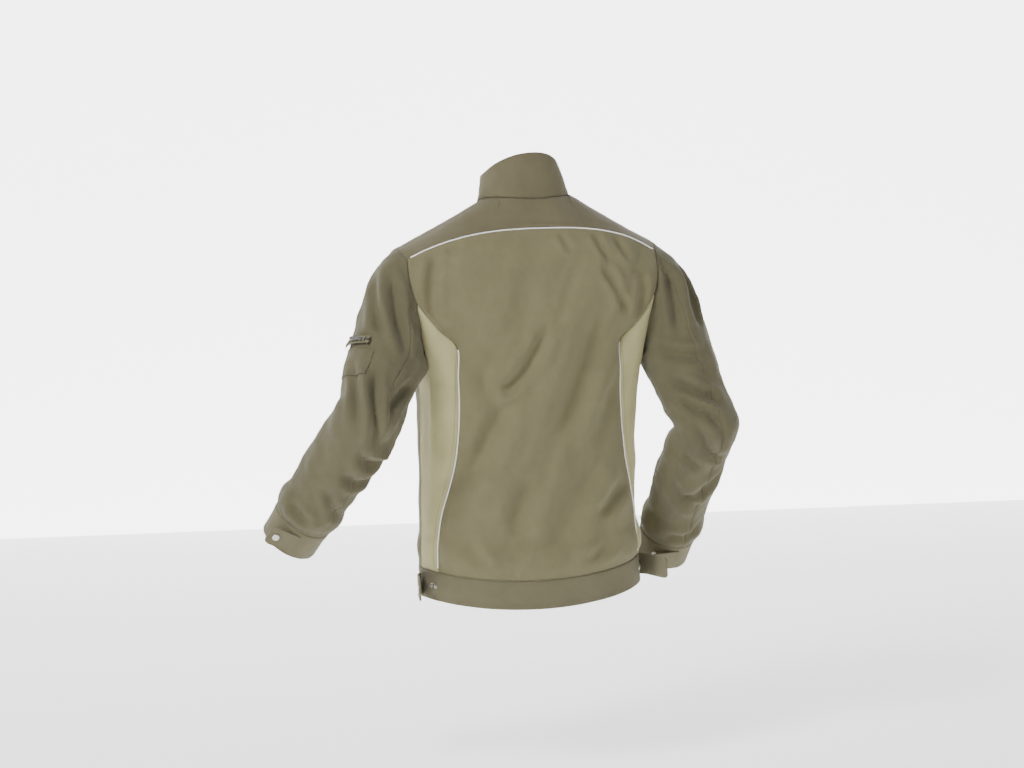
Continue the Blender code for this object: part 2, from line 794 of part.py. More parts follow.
def elbow_rows(way):
    top, elbow, wrist = sleeve_path(way)
    down, along = unit(elbow - top), unit(wrist - elbow)
    middle = elbow + unit(down - along) * 0.004
    rows = [ring(elbow - down * ELBOW_HALF, down, ELBOW_R, ELBOW_R, way)]
    rows.append(ring(middle, down + along, ELBOW_R, ELBOW_R * 1.02, way))
    rows.append(ring(elbow + along * ELBOW_HALF, along, ELBOW_R, ELBOW_R, way))
    return np.array(rows)


def forearm_rows(way):
    _, elbow, wrist = sleeve_path(way)
    along = unit(wrist - elbow)
    start, end = elbow + along * ELBOW_HALF, wrist - along * CUFF_LENGTH
    rows = []
    for k in range(6):
        t = k / 5
        radius = np.interp(t, (0, 0.4, 1), (ELBOW_R, FOREARM_R, WRIST_R + 0.002))
        rows.append(ring(start + (end - start) * t, along, radius, radius, way))
    return np.array(rows)


def cuff_rows(way):
    _, elbow, wrist = sleeve_path(way)
    along = unit(wrist - elbow)
    start = wrist - along * CUFF_LENGTH
    wide = WRIST_R + 0.002
    return np.array([ring(start, along, wide, wide, way), ring(wrist, along, WRIST_R, WRIST_R, way)])


def sleeve_inside(way):
    path = np.array(sleeve_path(way))
    start = path[0] + (path[0] - path[1]) * 1.2
    start[0] = way * 0.20
    line = np.vstack([start, path, path[2] + (path[2] - path[1]) * 0.3])

    def inside(point):
        p = np.array(point)
        best = None
        for a, b in zip(line, line[1:]):
            t = np.clip((p - a) @ (b - a) / ((b - a) @ (b - a)), 0, 1)
            q = a + t * (b - a)
            if best is None or np.linalg.norm(p - q) < np.linalg.norm(p - best):
                best = q
        return type(point)(best)

    return inside


CUFF_TAB_TURN = {1: 78, -1: 84}
CUFF_TAB_WAY = {1: -1, -1: 1}


def cuff_frame(way, turn, share=0.5, out=0.0):
    """A point on the cuff turned from its outer side towards the back, with its ways."""
    _, elbow, wrist = sleeve_path(way)
    along = unit(wrist - elbow)
    u = unit(np.array([way, 0.0, 0.0]) - way * along[0] * along)
    v = way * np.cross(u, along)
    a = math.radians(turn)
    normal = u * math.cos(a) + v * math.sin(a)
    round_way = -u * math.sin(a) + v * math.cos(a)
    centre = wrist - along * CUFF_LENGTH * share
    return centre + normal * (WRIST_R + 0.001 + out), normal, round_way, along


def strap_matrix(point, along, out):
    x, z = unit(along), unit(out)
    made = np.eye(4)
    made[:3, 0], made[:3, 1], made[:3, 2], made[:3, 3] = x, np.cross(z, x), z, point
    return made


def strap(name, size, matrix, slot="band"):
    return placed(add_object(name, box_mesh(name, size, 0.008), slot), matrix)


def strap_cap(name, size, matrix):
    at = matrix @ np.array([size[0] - 0.014, 0, size[2] + 0.0004, 1])
    snap(name, at[:3], matrix[:3, 2], CAP_R, CAP_HIGH, up=matrix[:3, 1])


def make_sleeves():
    for way in (1, -1):
        inside = sleeve_inside(way)
        side = "left" if way > 0 else "right"
        cloth(f"sleeve_head_{side}", [closed(head_rows(way))], "shell", inside)
        cloth(f"sleeve_upper_{side}", [closed(upper_rows(way))], "shell", inside)
        cloth(f"sleeve_elbow_{side}", [closed(elbow_rows(way))], "shell", inside)
        cloth(f"sleeve_forearm_{side}", [closed(forearm_rows(way))], "shell", inside)
        cloth(f"cuff_{side}", [closed(cuff_rows(way))], "band", inside, DOUBLE_CLOTH)
        point, normal, round_way, _ = cuff_frame(way, CUFF_TAB_TURN[way], out=0.0012)
        matrix = strap_matrix(point, round_way * CUFF_TAB_WAY[way], normal)
        strap(f"cuff_tab_{side}", CUFF_STRAP, matrix)
        strap_cap(f"cuff_tab_cap_{side}", CUFF_STRAP, matrix)
        for number, turn in ((1, 48), (2, 26)):
            at = CUFF_TAB_TURN[way] + CUFF_TAB_WAY[way] * turn
            spot, out, _, along = cuff_frame(way, at, 0.5, 0.0004)
            snap(f"cuff_snap_{side}_{number}", spot, out, STUD_R, STUD_HIGH, up=along)


def hem_strap_matrix(way):
    turn = math.radians(HEM_STRAP_TURN)
    along = np.array([way * math.sin(turn), math.cos(turn), 0])
    out = np.array([way * math.cos(turn), -math.sin(turn), 0])
    point = np.array([way * 0.2010, -0.104, HEM_STRAP_Z])
    return strap_matrix(point, along, out)


def make_hem_straps():
    side = side_rows()
    band = band_rows(side[0])
    for way in (1, -1):
        matrix = hem_strap_matrix(way)
        word = "left" if way > 0 else "right"
        strap(f"hem_tab_{word}", HEM_STRAP, matrix)
        strap_cap(f"hem_tab_cap_{word}", HEM_STRAP, matrix)
        rows = on_side(band, way)
        for number, column in ((1, 1), (2, 0)):
            normal = cell_normal(rows, 0, column, (0, -0.1, -0.675))
            spot = cell_centre(rows, 0, column) + normal * 0.0006
            snap(f"hem_snap_{word}_{number}", spot, normal, STUD_R, STUD_HIGH)


def tube(name, points, radius, slot, cyclic=False):
    data = bpy.data.curves.new(name, "CURVE")
    data.dimensions = "3D"
    data.bevel_depth = radius
    data.bevel_resolution = 2
    data.use_fill_caps = True
    line = data.splines.new("POLY")
    line.points.add(len(points) - 1)
    for spot, point in zip(line.points, points):
        spot.co = (*point, 1)
    return add_object(name, data, slot)


def lifted(points, inside, amount):
    """Points moved off the cloth, each away from the inside point at its own height."""
    out = []
    for p in points:
        away = p - np.array(inside)
        away[2] = 0
        out.append(p + unit(away) * amount)
    return np.array(out)


def make_piping():
    seam = rows_of_back()[-1].copy()
    seam[-1] = seam[-2] + (seam[-1] - seam[-2]) * 0.80
    whole = np.vstack([mirrored(seam)[:0:-1], seam])
    tube("yoke_piping", lifted(whole, (0, -0.35, -0.06), 0.0024), 0.0011, "piping")
    edge = np.array([row[-1] for row in rows_of_back()[:ROWS_TO_ARMHOLE + 1]])
    edge[0] = edge[0] + (edge[1] - edge[0]) * 0.10
    for way in (1, -1):
        points = lifted(on_side(edge, way), (0, -0.12, 0), 0.0024)
        tube(sided("side_piping", way), points, 0.0011, "piping")


def make_hanger():
    points = []
    for k in range(9):
        a = math.pi * k / 8
        points.append((0.028 * math.cos(a), -0.0085, -0.020 + 0.020 * math.sin(a)))
    tube("hanger_loop", np.array(points), 0.0016, "band")


def sleeve_zip_frame():
    """The left sleeve pocket's zip: the middle of its circle and its ways."""
    top, elbow, _ = sleeve_path(1)
    axis = unit(elbow - top)
    centre = top + (elbow - top) * 0.13
    u = unit(np.array([1.0, 0, 0]) - axis[0] * axis)
    v = np.cross(u, axis)
    a = math.radians(22)
    return centre, axis, u * math.cos(a) + v * math.sin(a)


ZIP_R = 0.0685
SLEEVE_ZIP_HALF = math.radians(30)
SLEEVE_SLIDER = math.radians(5)


def zip_matrix(centre, axis, out):
    x, y = unit(axis), -unit(out)
    made = np.eye(4)
    made[:3, 0], made[:3, 1], made[:3, 2], made[:3, 3] = x, y, np.cross(x, y), centre
    return made


def make_sleeve_pocket():
    rows = upper_rows(1)[1:4, 2:7]
    inside = sleeve_inside(1)
    cloth("sleeve_pocket", [rows], "shell", inside, CLOTH, 0.006, CLOTH + PATCH_GAP)
    centre, axis, out = sleeve_zip_frame()
    matrix = zip_matrix(centre, axis, out)
    tape = ((-0.008, 0), (0.008, 0), (0.008, 0.0009), (0.002, 0.0009),
            (0.002, 0.0018), (-0.002, 0.0018), (-0.002, 0.0009), (-0.008, 0.0009))
    placed(arc_sweep("sleeve_zip", tape, ZIP_R, -SLEEVE_ZIP_HALF, SLEEVE_ZIP_HALF, 8, "tape"), matrix)
    plate = ((-0.0034, 0.0022), (0.0034, 0.0022), (0.0034, 0.0034), (-0.0034, 0.0034))
    start = SLEEVE_ZIP_HALF - SLEEVE_SLIDER * 2.2
    ends = start - SLEEVE_SLIDER, start + SLEEVE_SLIDER
    body = arc_sweep("sleeve_zip_slider", plate, ZIP_R, *ends, 2, "metal")
    placed(body, matrix)
    spin = np.array([0, -math.cos(start), math.sin(start)])
    along_local = np.array([0, math.sin(start), math.cos(start)])
    out_w, along_w = matrix[:3, :3] @ spin, matrix[:3, :3] @ along_local
    base = centre + out_w * (ZIP_R + 0.0033)
    join_arch(body, base, out_w, along_w)
    pivot = centre + out_w * (ZIP_R + 0.0034 + 0.0015)
    make_pull("sleeve_zip_pull", pivot, out_w, along=along_w, length=0.024)


def main():
    make_torso()
    make_collar()
    make_fronts()
    make_zip()
    make_sleeves()
    make_hem_straps()
    make_piping()
    make_hanger()
    make_sleeve_pocket()


clear_scene()
PARTS = make_collection(NAME)
HELPERS = make_collection("helpers")
main()
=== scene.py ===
"""An olive work jacket seen from behind: its cloth, seams, stitching and metal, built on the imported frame."""

import math

import bmesh
import bpy
import numpy as np
from mathutils import Matrix, Vector, kdtree, noise


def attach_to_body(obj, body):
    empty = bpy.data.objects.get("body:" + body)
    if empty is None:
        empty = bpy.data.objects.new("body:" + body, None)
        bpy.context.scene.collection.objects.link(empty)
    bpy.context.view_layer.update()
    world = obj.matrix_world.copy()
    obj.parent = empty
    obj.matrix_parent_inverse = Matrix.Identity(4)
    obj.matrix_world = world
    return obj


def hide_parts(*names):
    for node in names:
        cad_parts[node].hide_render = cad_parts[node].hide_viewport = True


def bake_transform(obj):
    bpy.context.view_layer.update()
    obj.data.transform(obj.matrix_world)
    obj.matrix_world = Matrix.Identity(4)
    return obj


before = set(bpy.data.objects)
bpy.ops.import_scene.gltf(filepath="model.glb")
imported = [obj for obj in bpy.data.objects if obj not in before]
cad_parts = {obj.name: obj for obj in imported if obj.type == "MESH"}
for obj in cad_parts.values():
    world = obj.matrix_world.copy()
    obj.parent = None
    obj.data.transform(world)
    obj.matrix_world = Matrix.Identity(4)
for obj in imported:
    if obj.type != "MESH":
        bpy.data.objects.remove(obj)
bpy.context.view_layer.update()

# how finely each cell of the pattern grids is divided
SUB = 9
CLOTH = 0.0015
BAND_CLOTH = 0.0028

# torso heights
HEM_Z = -0.678
BAND_Z = -0.630
BAND_HIGH = 0.048
SIDE_RISE = 0.021
YOKE_Z = -0.049
FRONT_NECK_Z = -0.060

# side seam, and the height where the front armhole starts
SIDE_SEAM_Y = -0.115
ARMHOLE_FRONT_Z = -0.243

# half grid: cells in each part
ROWS = 12
ROWS_TO_ARMHOLE = 8
BACK_CELLS = 6
SIDE_CELLS = 5
FRONT_CELLS = 7

# the centre front is an arc of a large circle, so that a zip slider can follow it
ARC_POINTS = ((0.040, -0.132), (-0.250, -0.222), (-0.690, -0.248))
FRONT_EDGE_X = 0.0090
ZIP_TOP_Z = 0.034
ZIP_BOTTOM_Z = -0.655

# height, half width and back middle of the torso
BODY = (
    (-0.700, 0.1965, 0.006),
    (-0.650, 0.1930, 0.003),
    (-0.550, 0.1895, 0.003),
    (-0.450, 0.1860, 0.008),
    (-0.350, 0.1840, 0.016),
    (-0.250, 0.1850, 0.024),
    (-0.170, 0.2000, 0.027),
    (-0.100, 0.2100, 0.024),
    (-0.052, 0.2150, 0.014),
)
# height and half width of the seam between back and side panel
SIDE_PIECE_SEAM = (
    (-0.700, 0.1800),
    (-0.650, 0.1785),
    (-0.570, 0.1760),
    (-0.515, 0.1680),
    (-0.460, 0.1530),
    (-0.400, 0.1440),
    (-0.330, 0.1410),
    (-0.238, 0.1430),
)
PANEL_CORNER_Z = -0.238

# left armhole, from the side panel's point up the back, over the shoulder and down the front
BACK_ARMHOLE = (
    (0.176, -0.010, -0.206),
    (0.206, -0.014, -0.165),
    (0.216, -0.018, -0.128),
    (0.216, -0.030, -0.092),
)
SHOULDER_ARMHOLE = (
    (0.216, -0.030, -0.092),
    (0.222, -0.050, -0.080),
    (0.225, -0.070, -0.075),
    (0.225, -0.090, -0.076),
    (0.219, -0.109, -0.086),
    (0.209, -0.125, -0.104),
)
FRONT_ARMHOLE = (
    (0.186, -0.137, -0.208),
    (0.189, -0.147, -0.172),
    (0.198, -0.141, -0.138),
    (0.209, -0.125, -0.104),
)
UNDERARM = ((0.187, -0.034, -0.224), (0.1865, -0.076, -0.256))

# left neck seam, from the back middle round to the centre front
NECK_SEAM = (
    (0.000, 0.000, 0.000),
    (0.034, -0.003, 0.002),
    (0.061, -0.020, 0.004),
    (0.077, -0.054, 0.003),
    (0.077, -0.084, -0.008),
    (0.069, -0.108, -0.026),
    (0.053, -0.132, -0.045),
    (0.031, -0.155, -0.056),
)
# left edge of the collar's top, in step with the neck seam
COLLAR_TOP = (
    (0.000, 0.004, 0.075),
    (0.029, 0.000, 0.073),
    (0.051, -0.017, 0.066),
    (0.062, -0.046, 0.055),
    (0.062, -0.076, 0.048),
    (0.056, -0.099, 0.043),
    (0.045, -0.116, 0.039),
    (0.028, -0.127, 0.036),
)

# sleeves: the rings' centres, how far each leans, and their radii
LEFT_ELBOW = (0.298, -0.010, -0.345)
LEFT_WRIST = (0.411, -0.136, -0.547)
RIGHT_ELBOW = (-0.290, -0.012, -0.390)
RIGHT_WRIST = (-0.262, -0.166, -0.627)
HEAD_RING = (0.2465, -0.050, -0.238)
RING_LEAN = 0.50
RING_OUT_R = 0.0670
RING_R = 0.0640
ELBOW_R = 0.0560
FOREARM_R = 0.0550
WRIST_R = 0.0475
ELBOW_HALF = 0.047
CUFF_LENGTH = 0.050
SLEEVE_SHIFT = 0.0014


def table(rows, z, column):
    heights = [row[0] for row in rows]
    return float(np.interp(z, heights, [row[column] for row in rows]))


def circle_through(points):
    """Centre (y, z) and radius of the circle through three (z, y) points."""
    (z0, y0), (z1, y1), (z2, y2) = points
    left = np.array([[y1 - y0, z1 - z0], [y2 - y0, z2 - z0]]) * 2
    right = np.array([y1**2 - y0**2 + z1**2 - z0**2, y2**2 - y0**2 + z2**2 - z0**2])
    centre = np.linalg.solve(left, right)
    return centre[0], centre[1], math.hypot(y0 - centre[0], z0 - centre[1])


ARC_Y, ARC_Z, ARC_R = circle_through(ARC_POINTS)


def front_y(z):
    return ARC_Y - math.sqrt(ARC_R**2 - (z - ARC_Z) ** 2)


def bezier(p0, p1, p2, p3, count=80):
    t = np.linspace(0, 1, count + 1)[:, None]
    a, b, c, d = (np.array(p, float) for p in (p0, p1, p2, p3))
    return a * (1 - t) ** 3 + 3 * b * t * (1 - t) ** 2 + 3 * c * t**2 * (1 - t) + d * t**3


def spread(line, cells):
    """The line's points again, evenly spaced along it."""
    steps = np.r_[0, np.cumsum(np.linalg.norm(np.diff(line, axis=0), axis=1))]
    at = np.linspace(0, steps[-1], cells + 1)
    return np.stack([np.interp(at, steps, line[:, k]) for k in range(3)], axis=1)


def back_quarter(z):
    """The lower torso's outline from the back middle to the side seam."""
    half, back = table(BODY, z, 1), table(BODY, z, 2)
    reach = back - SIDE_SEAM_Y
    ends = (0, back, z), (half * 0.66, back, z), (half, SIDE_SEAM_Y + reach * 0.62, z), (half, SIDE_SEAM_Y, z)
    return bezier(*ends)


def split_at_seam(z):
    line = back_quarter(z)
    seam = table(SIDE_PIECE_SEAM, z, 1)
    cut = int(np.searchsorted(line[:, 0], seam))
    share = (seam - line[cut - 1, 0]) / (line[cut, 0] - line[cut - 1, 0])
    point = line[cut - 1] + share * (line[cut] - line[cut - 1])
    return np.vstack([line[:cut], point]), np.vstack([point, line[cut:]])


def hem_rise(rows):
    """Lift the lower rows towards the side seam, since the back of the hem dips."""
    for k in range(ROWS_TO_ARMHOLE + 1):
        share = np.minimum(np.abs(rows[k][:, 0]) / 0.19, 1) ** 2
        rows[k][:, 2] += SIDE_RISE * share * (1 - k / ROWS_TO_ARMHOLE)
    return rows


def back_rows():
    rows = []
    for k in range(ROWS_TO_ARMHOLE + 1):
        z = BAND_Z + (PANEL_CORNER_Z - BAND_Z) * k / ROWS_TO_ARMHOLE
        rows.append(spread(split_at_seam(z)[0], BACK_CELLS))
    for k, end in enumerate(BACK_ARMHOLE):
        middle_z = PANEL_CORNER_Z + (YOKE_Z - PANEL_CORNER_Z) * (k + 1) / len(BACK_ARMHOLE)
        back = table(BODY, middle_z, 2)
        line = bezier((0, back), (end[0] * 0.6, back), (end[0] - 0.040, (end[1] * 2 + back) / 3), end[:2])
        across = (line[:, 0] / end[0]) ** 2.8
        line = np.c_[line, middle_z + (end[2] - middle_z) * across]
        rows.append(spread(line, BACK_CELLS))
    return hem_rise(np.array(rows))


def side_rows():
    """Side panel, from the back seam to the side seam."""
    top = np.array([rows_of_back()[8][-1], BACK_ARMHOLE[0], BACK_ARMHOLE[1], *UNDERARM, hinge_top()])
    rows = []
    for k in range(ROWS_TO_ARMHOLE + 1):
        z = BAND_Z + (PANEL_CORNER_Z - BAND_Z) * k / ROWS_TO_ARMHOLE
        row = spread(split_at_seam(z)[1], SIDE_CELLS)
        row[:, 2] += (np.linspace(0, 1, SIDE_CELLS + 1)) * (ARMHOLE_FRONT_Z - PANEL_CORNER_Z) * k / 8
        rows.append(row)
    rows = hem_rise(np.array(rows))
    lift = top - rows[-1]
    for k in range(ROWS_TO_ARMHOLE + 1):
        rows[k] += lift * (k / ROWS_TO_ARMHOLE) ** 3
    return rows


def hinge_top():
    return (table(BODY, ARMHOLE_FRONT_Z, 1), SIDE_SEAM_Y, ARMHOLE_FRONT_Z)


_CACHE = {}


def rows_of_back():
    if "back" not in _CACHE:
        _CACHE["back"] = back_rows()
    return _CACHE["back"]


def front_row(outer, inner, turn, reach):
    """A front row from its outer end, leaving it at turn degrees from straight forward."""
    deep = abs(outer[1] - inner[1]) * reach + 0.012
    heading = (-math.sin(math.radians(turn)) * deep, -math.cos(math.radians(turn)) * deep)
    line = bezier(outer[:2], (outer[0] + heading[0], outer[1] + heading[1]),
                  (inner[0] + (outer[0] - inner[0]) * 0.55, inner[1]), inner[:2])
    share = np.linspace(0, 1, len(line))
    line = np.c_[line, outer[2] + (inner[2] - outer[2]) * share]
    return spread(line, FRONT_CELLS)


def front_rows():
    """Front panel, from the side seam or armhole to the centre front."""
    rows = []
    for k in range(ROWS + 1):
        low = BAND_Z + SIDE_RISE
        inner_z = low + (FRONT_NECK_Z - low) * k / ROWS
        inner = (FRONT_EDGE_X, front_y(inner_z), inner_z)
        if k <= ROWS_TO_ARMHOLE:
            z = low + (ARMHOLE_FRONT_Z - low) * k / ROWS_TO_ARMHOLE
            rows.append(front_row((table(BODY, z, 1), SIDE_SEAM_Y, z), inner, 0, 0.60))
        else:
            turn = (k - ROWS_TO_ARMHOLE) * 20
            rows.append(front_row(FRONT_ARMHOLE[k - ROWS_TO_ARMHOLE - 1], inner, turn, 0.45))
    rows = np.array(rows)
    shoulder = np.linspace(SHOULDER_ARMHOLE[-1], NECK_SEAM[5], 5)
    neck = [NECK_SEAM[6], NECK_SEAM[7], rows[-1][-1]]
    lift = np.vstack([shoulder, neck]) - rows[-1]
    for k in range(ROWS_TO_ARMHOLE, ROWS + 1):
        rows[k] += lift * ((k - ROWS_TO_ARMHOLE) / (ROWS - ROWS_TO_ARMHOLE)) ** 2
    return rows


def yoke_grids():
    """The middle of the yoke as far as the neck, then its shoulder."""
    seam = rows_of_back()[-1]
    neck = np.array(NECK_SEAM)
    middle = np.array([seam[:3], (seam[:3] + neck[:3]) / 2 + np.array([0, 0.002, 0.001]), neck[:3]])
    inner = [seam[2], middle[1][2], neck[2], neck[3], neck[4], neck[5]]
    rows = []
    for k, outer in enumerate(SHOULDER_ARMHOLE):
        row = np.linspace(inner[k], outer, 5)
        rows.append(row)
    rows[0] = seam[2:]
    blend = rows[0] - np.linspace(inner[0], SHOULDER_ARMHOLE[0], 5)
    rows[1] += blend * 0.5
    return middle, np.array(rows)


def band_rows(upper):
    """The hem band under a row of seam points."""
    lower = []
    for x, y, z in upper:
        out = table(BODY, z - BAND_HIGH, 1) / table(BODY, z, 1)
        forward = front_y(z - BAND_HIGH) - front_y(z) if y < SIDE_SEAM_Y else 0.0
        lower.append((x * out if x > FRONT_EDGE_X + 1e-6 else x, y + forward, z - BAND_HIGH))
    return np.array([lower, upper])


def mirrored(grid):
    return np.array(grid) * np.array([-1, 1, 1])


def unit(v):
    return np.array(v, float) / np.linalg.norm(v)


def armhole_loop(way):
    loop = [BACK_ARMHOLE[1], BACK_ARMHOLE[2], *SHOULDER_ARMHOLE, *FRONT_ARMHOLE[2::-1]]
    loop = np.array(loop + [hinge_top(), UNDERARM[1], UNDERARM[0]])
    loop[:, 0] += SLEEVE_SHIFT
    return loop * np.array([way, 1, 1])


LOOP_COUNT = 14


def ring(centre, normal, r_out, r_back, way):
    """Points round the sleeve in step with the armhole loop: outwards first, then the back."""
    n = unit(normal)
    u = np.array([way, 0.0, 0.0]) - way * n[0] * n
    u = unit(u)
    v = way * np.cross(u, n)
    turns = [(4.5 - j) * 2 * math.pi / LOOP_COUNT for j in range(LOOP_COUNT)]
    return np.array([np.array(centre) + u * r_out * math.cos(a) + v * r_back * math.sin(a) for a in turns])


def closed(rows):
    rows = np.array(rows)
    return np.concatenate([rows, rows[:, :1]], axis=1)


def sleeve_path(way):
    elbow = np.array(LEFT_ELBOW if way > 0 else RIGHT_ELBOW)
    wrist = np.array(LEFT_WRIST if way > 0 else RIGHT_WRIST)
    top = np.array(HEAD_RING) * np.array([way, 1, 1])
    return top, elbow, wrist


def head_rows(way):
    top, elbow, _ = sleeve_path(way)
    loop = armhole_loop(way)
    first = ring(top, (RING_LEAN * way, 0.10, -0.79), RING_OUT_R, RING_R, way)
    down = unit(elbow - top)
    rows = []
    for t in (0, 1 / 3, 2 / 3, 1):
        h00, h10 = 2 * t**3 - 3 * t**2 + 1, t**3 - 2 * t**2 + t
        h01, h11 = -2 * t**3 + 3 * t**2, t**3 - t**2
        row = []
        for j in range(LOOP_COUNT):
            far = np.linalg.norm(first[j] - loop[j])
            leave = unit(np.array([way * 1.0, 0, 0]) * 0.8 + down * 0.45)
            row.append(loop[j] * h00 + leave * far * h10 + first[j] * h01 + down * far * h11)
        rows.append(row)
    return np.array(rows)


def upper_rows(way):
    top, elbow, _ = sleeve_path(way)
    down = unit(elbow - top)
    last = elbow - down * ELBOW_HALF
    lean = np.array([RING_LEAN * way, 0.10, -0.79])
    rows = []
    for k in range(4):
        t = k / 3
        normal = unit(lean) * (1 - t) + down * t
        r_out = RING_OUT_R + (ELBOW_R - RING_OUT_R) * t
        r_back = RING_R + (ELBOW_R - RING_R) * t
        rows.append(ring(top + (last - top) * t, normal, r_out, r_back, way))
    return np.array(rows)


def elbow_rows(way):
    top, elbow, wrist = sleeve_path(way)
    down, along = unit(elbow - top), unit(wrist - elbow)
    middle = elbow + unit(down - along) * 0.004
    rows = [ring(elbow - down * ELBOW_HALF, down, ELBOW_R, ELBOW_R, way)]
    rows.append(ring(middle, down + along, ELBOW_R, ELBOW_R * 1.02, way))
    rows.append(ring(elbow + along * ELBOW_HALF, along, ELBOW_R, ELBOW_R, way))
    return np.array(rows)


def forearm_rows(way):
    _, elbow, wrist = sleeve_path(way)
    along = unit(wrist - elbow)
    start, end = elbow + along * ELBOW_HALF, wrist - along * CUFF_LENGTH
    rows = []
    for k in range(6):
        t = k / 5
        radius = np.interp(t, (0, 0.4, 1), (ELBOW_R, FOREARM_R, WRIST_R + 0.002))
        rows.append(ring(start + (end - start) * t, along, radius, radius, way))
    return np.array(rows)


def cuff_rows(way):
    _, elbow, wrist = sleeve_path(way)
    along = unit(wrist - elbow)
    start = wrist - along * CUFF_LENGTH
    wide = WRIST_R + 0.002
    return np.array([ring(start, along, wide, wide, way), ring(wrist, along, WRIST_R, WRIST_R, way)])


CAP_R, STUD_R = 0.0060, 0.0045
HEM_STRAP = (0.078, 0.036, 0.0024)
HEM_STRAP_TURN = 12
HEM_STRAP_Z = -0.634
CUFF_STRAP = (0.052, 0.034, 0.0022)
CUFF_TAB_TURN = {1: 78, -1: 84}
CUFF_TAB_WAY = {1: -1, -1: 1}
ZIP_R = 0.0685


def zip_angle(z):
    """How far round the centre-front arc a height lies, from level with its centre."""
    return math.asin((z - ARC_Z) / ARC_R)


def cuff_frame(way, turn, share=0.5, out=0.0):
    """A point on the cuff turned from its outer side towards the back, with its ways."""
    _, elbow, wrist = sleeve_path(way)
    along = unit(wrist - elbow)
    u = unit(np.array([way, 0.0, 0.0]) - way * along[0] * along)
    v = way * np.cross(u, along)
    a = math.radians(turn)
    normal = u * math.cos(a) + v * math.sin(a)
    round_way = -u * math.sin(a) + v * math.cos(a)
    centre = wrist - along * CUFF_LENGTH * share
    return centre + normal * (WRIST_R + 0.001 + out), normal, round_way, along


def strap_matrix(point, along, out):
    x, z = unit(along), unit(out)
    made = np.eye(4)
    made[:3, 0], made[:3, 1], made[:3, 2], made[:3, 3] = x, np.cross(z, x), z, point
    return made


def hem_strap_matrix(way):
    turn = math.radians(HEM_STRAP_TURN)
    along = np.array([way * math.sin(turn), math.cos(turn), 0])
    out = np.array([way * math.cos(turn), -math.sin(turn), 0])
    point = np.array([way * 0.2010, -0.104, HEM_STRAP_Z])
    return strap_matrix(point, along, out)


def sleeve_zip_frame():
    """The left sleeve pocket's zip: the middle of its circle and its ways."""
    top, elbow, _ = sleeve_path(1)
    axis = unit(elbow - top)
    centre = top + (elbow - top) * 0.13
    u = unit(np.array([1.0, 0, 0]) - axis[0] * axis)
    v = np.cross(u, axis)
    a = math.radians(22)
    return centre, axis, u * math.cos(a) + v * math.sin(a)


def zip_matrix(centre, axis, out):
    x, y = unit(axis), -unit(out)
    made = np.eye(4)
    made[:3, 0], made[:3, 1], made[:3, 2], made[:3, 3] = x, y, np.cross(x, y), centre
    return made


def catmull(grid, at, cyclic=False):
    """The grid's rows at fractional positions, by a smooth curve through them."""
    grid = np.array(grid, float)
    count = len(grid)
    low = np.clip(np.floor(at).astype(int), 0, count - 2)
    f = (at - low)[:, None, None]
    if cyclic:
        pick = [grid[(low + k) % (count - 1)] for k in (-1, 0, 1, 2)]
    else:
        padded = np.concatenate([[grid[0] * 2 - grid[1]], grid, [grid[-1] * 2 - grid[-2]]])
        pick = [padded[low + k] for k in (0, 1, 2, 3)]
    a, b, c, d = pick
    return b + 0.5 * f * (c - a + f * (2 * a - 5 * b + 4 * c - d + f * (3 * (b - c) + d - a)))


def knots(cells, first=True, last=True):
    """Sample positions along a side of a grid, closer together next to a seam."""
    at = list(np.linspace(0, cells, cells * SUB + 1))
    near = (0.018, 0.040, 0.070)
    at += [k for k in near if first] + [cells - k for k in near if last]
    return np.array(sorted(at))


def fine(grid, rows, columns, cyclic=False, left=None, right=None):
    """A smooth surface through the grid. left and right are columns beside it, to guide its tangents."""
    tall = catmull(grid, rows)
    shift = 0
    if left is not None:
        tall = np.concatenate([catmull(np.array(left)[:, None], rows), tall], axis=1)
        shift = 1
    if right is not None:
        tall = np.concatenate([tall, catmull(np.array(right)[:, None], rows)], axis=1)
    return catmull(tall.transpose(1, 0, 2), columns + shift, cyclic).transpose(1, 0, 2)


def normals_of(points, inside, cyclic=False):
    if cyclic:
        wide = np.concatenate([points[:, -2:-1], points, points[:, 1:2]], axis=1)
        across = np.gradient(wide, axis=1)[:, 1:-1]
    else:
        across = np.gradient(points, axis=1)
    found = np.cross(across, np.gradient(points, axis=0))
    found /= np.maximum(np.linalg.norm(found, axis=2, keepdims=True), 1e-12)
    away = points - np.array(inside(points))
    return found if (found * away).sum() > 0 else -found


def torso_axis(points):
    middle = np.array(points) * np.array([0.0, 0.0, 1.0])
    middle[..., 1] = np.where(points[..., 2] < -0.12, -0.100, -0.080)
    middle[..., 2] = np.minimum(points[..., 2], -0.13)
    return middle


def collar_axis(points):
    return np.array(points) * np.array([0.0, 0.0, 1.0]) + np.array([0, -0.075, 0])


def sleeve_axis(way):
    path = np.array(sleeve_path(way))
    start = path[0] + (path[0] - path[1]) * 1.2
    start[0] = way * 0.20
    line = np.vstack([start, path, path[2] + (path[2] - path[1]) * 0.3])

    def inside(points):
        best = np.full(points.shape, 9.0)
        for a, b in zip(line, line[1:]):
            t = np.clip((points - a) @ (b - a) / ((b - a) @ (b - a)), 0, 1)[..., None]
            q = a + t * (b - a)
            nearer = np.linalg.norm(points - q, axis=-1) < np.linalg.norm(points - best, axis=-1)
            best = np.where(nearer[..., None], q, best)
        return best

    return inside


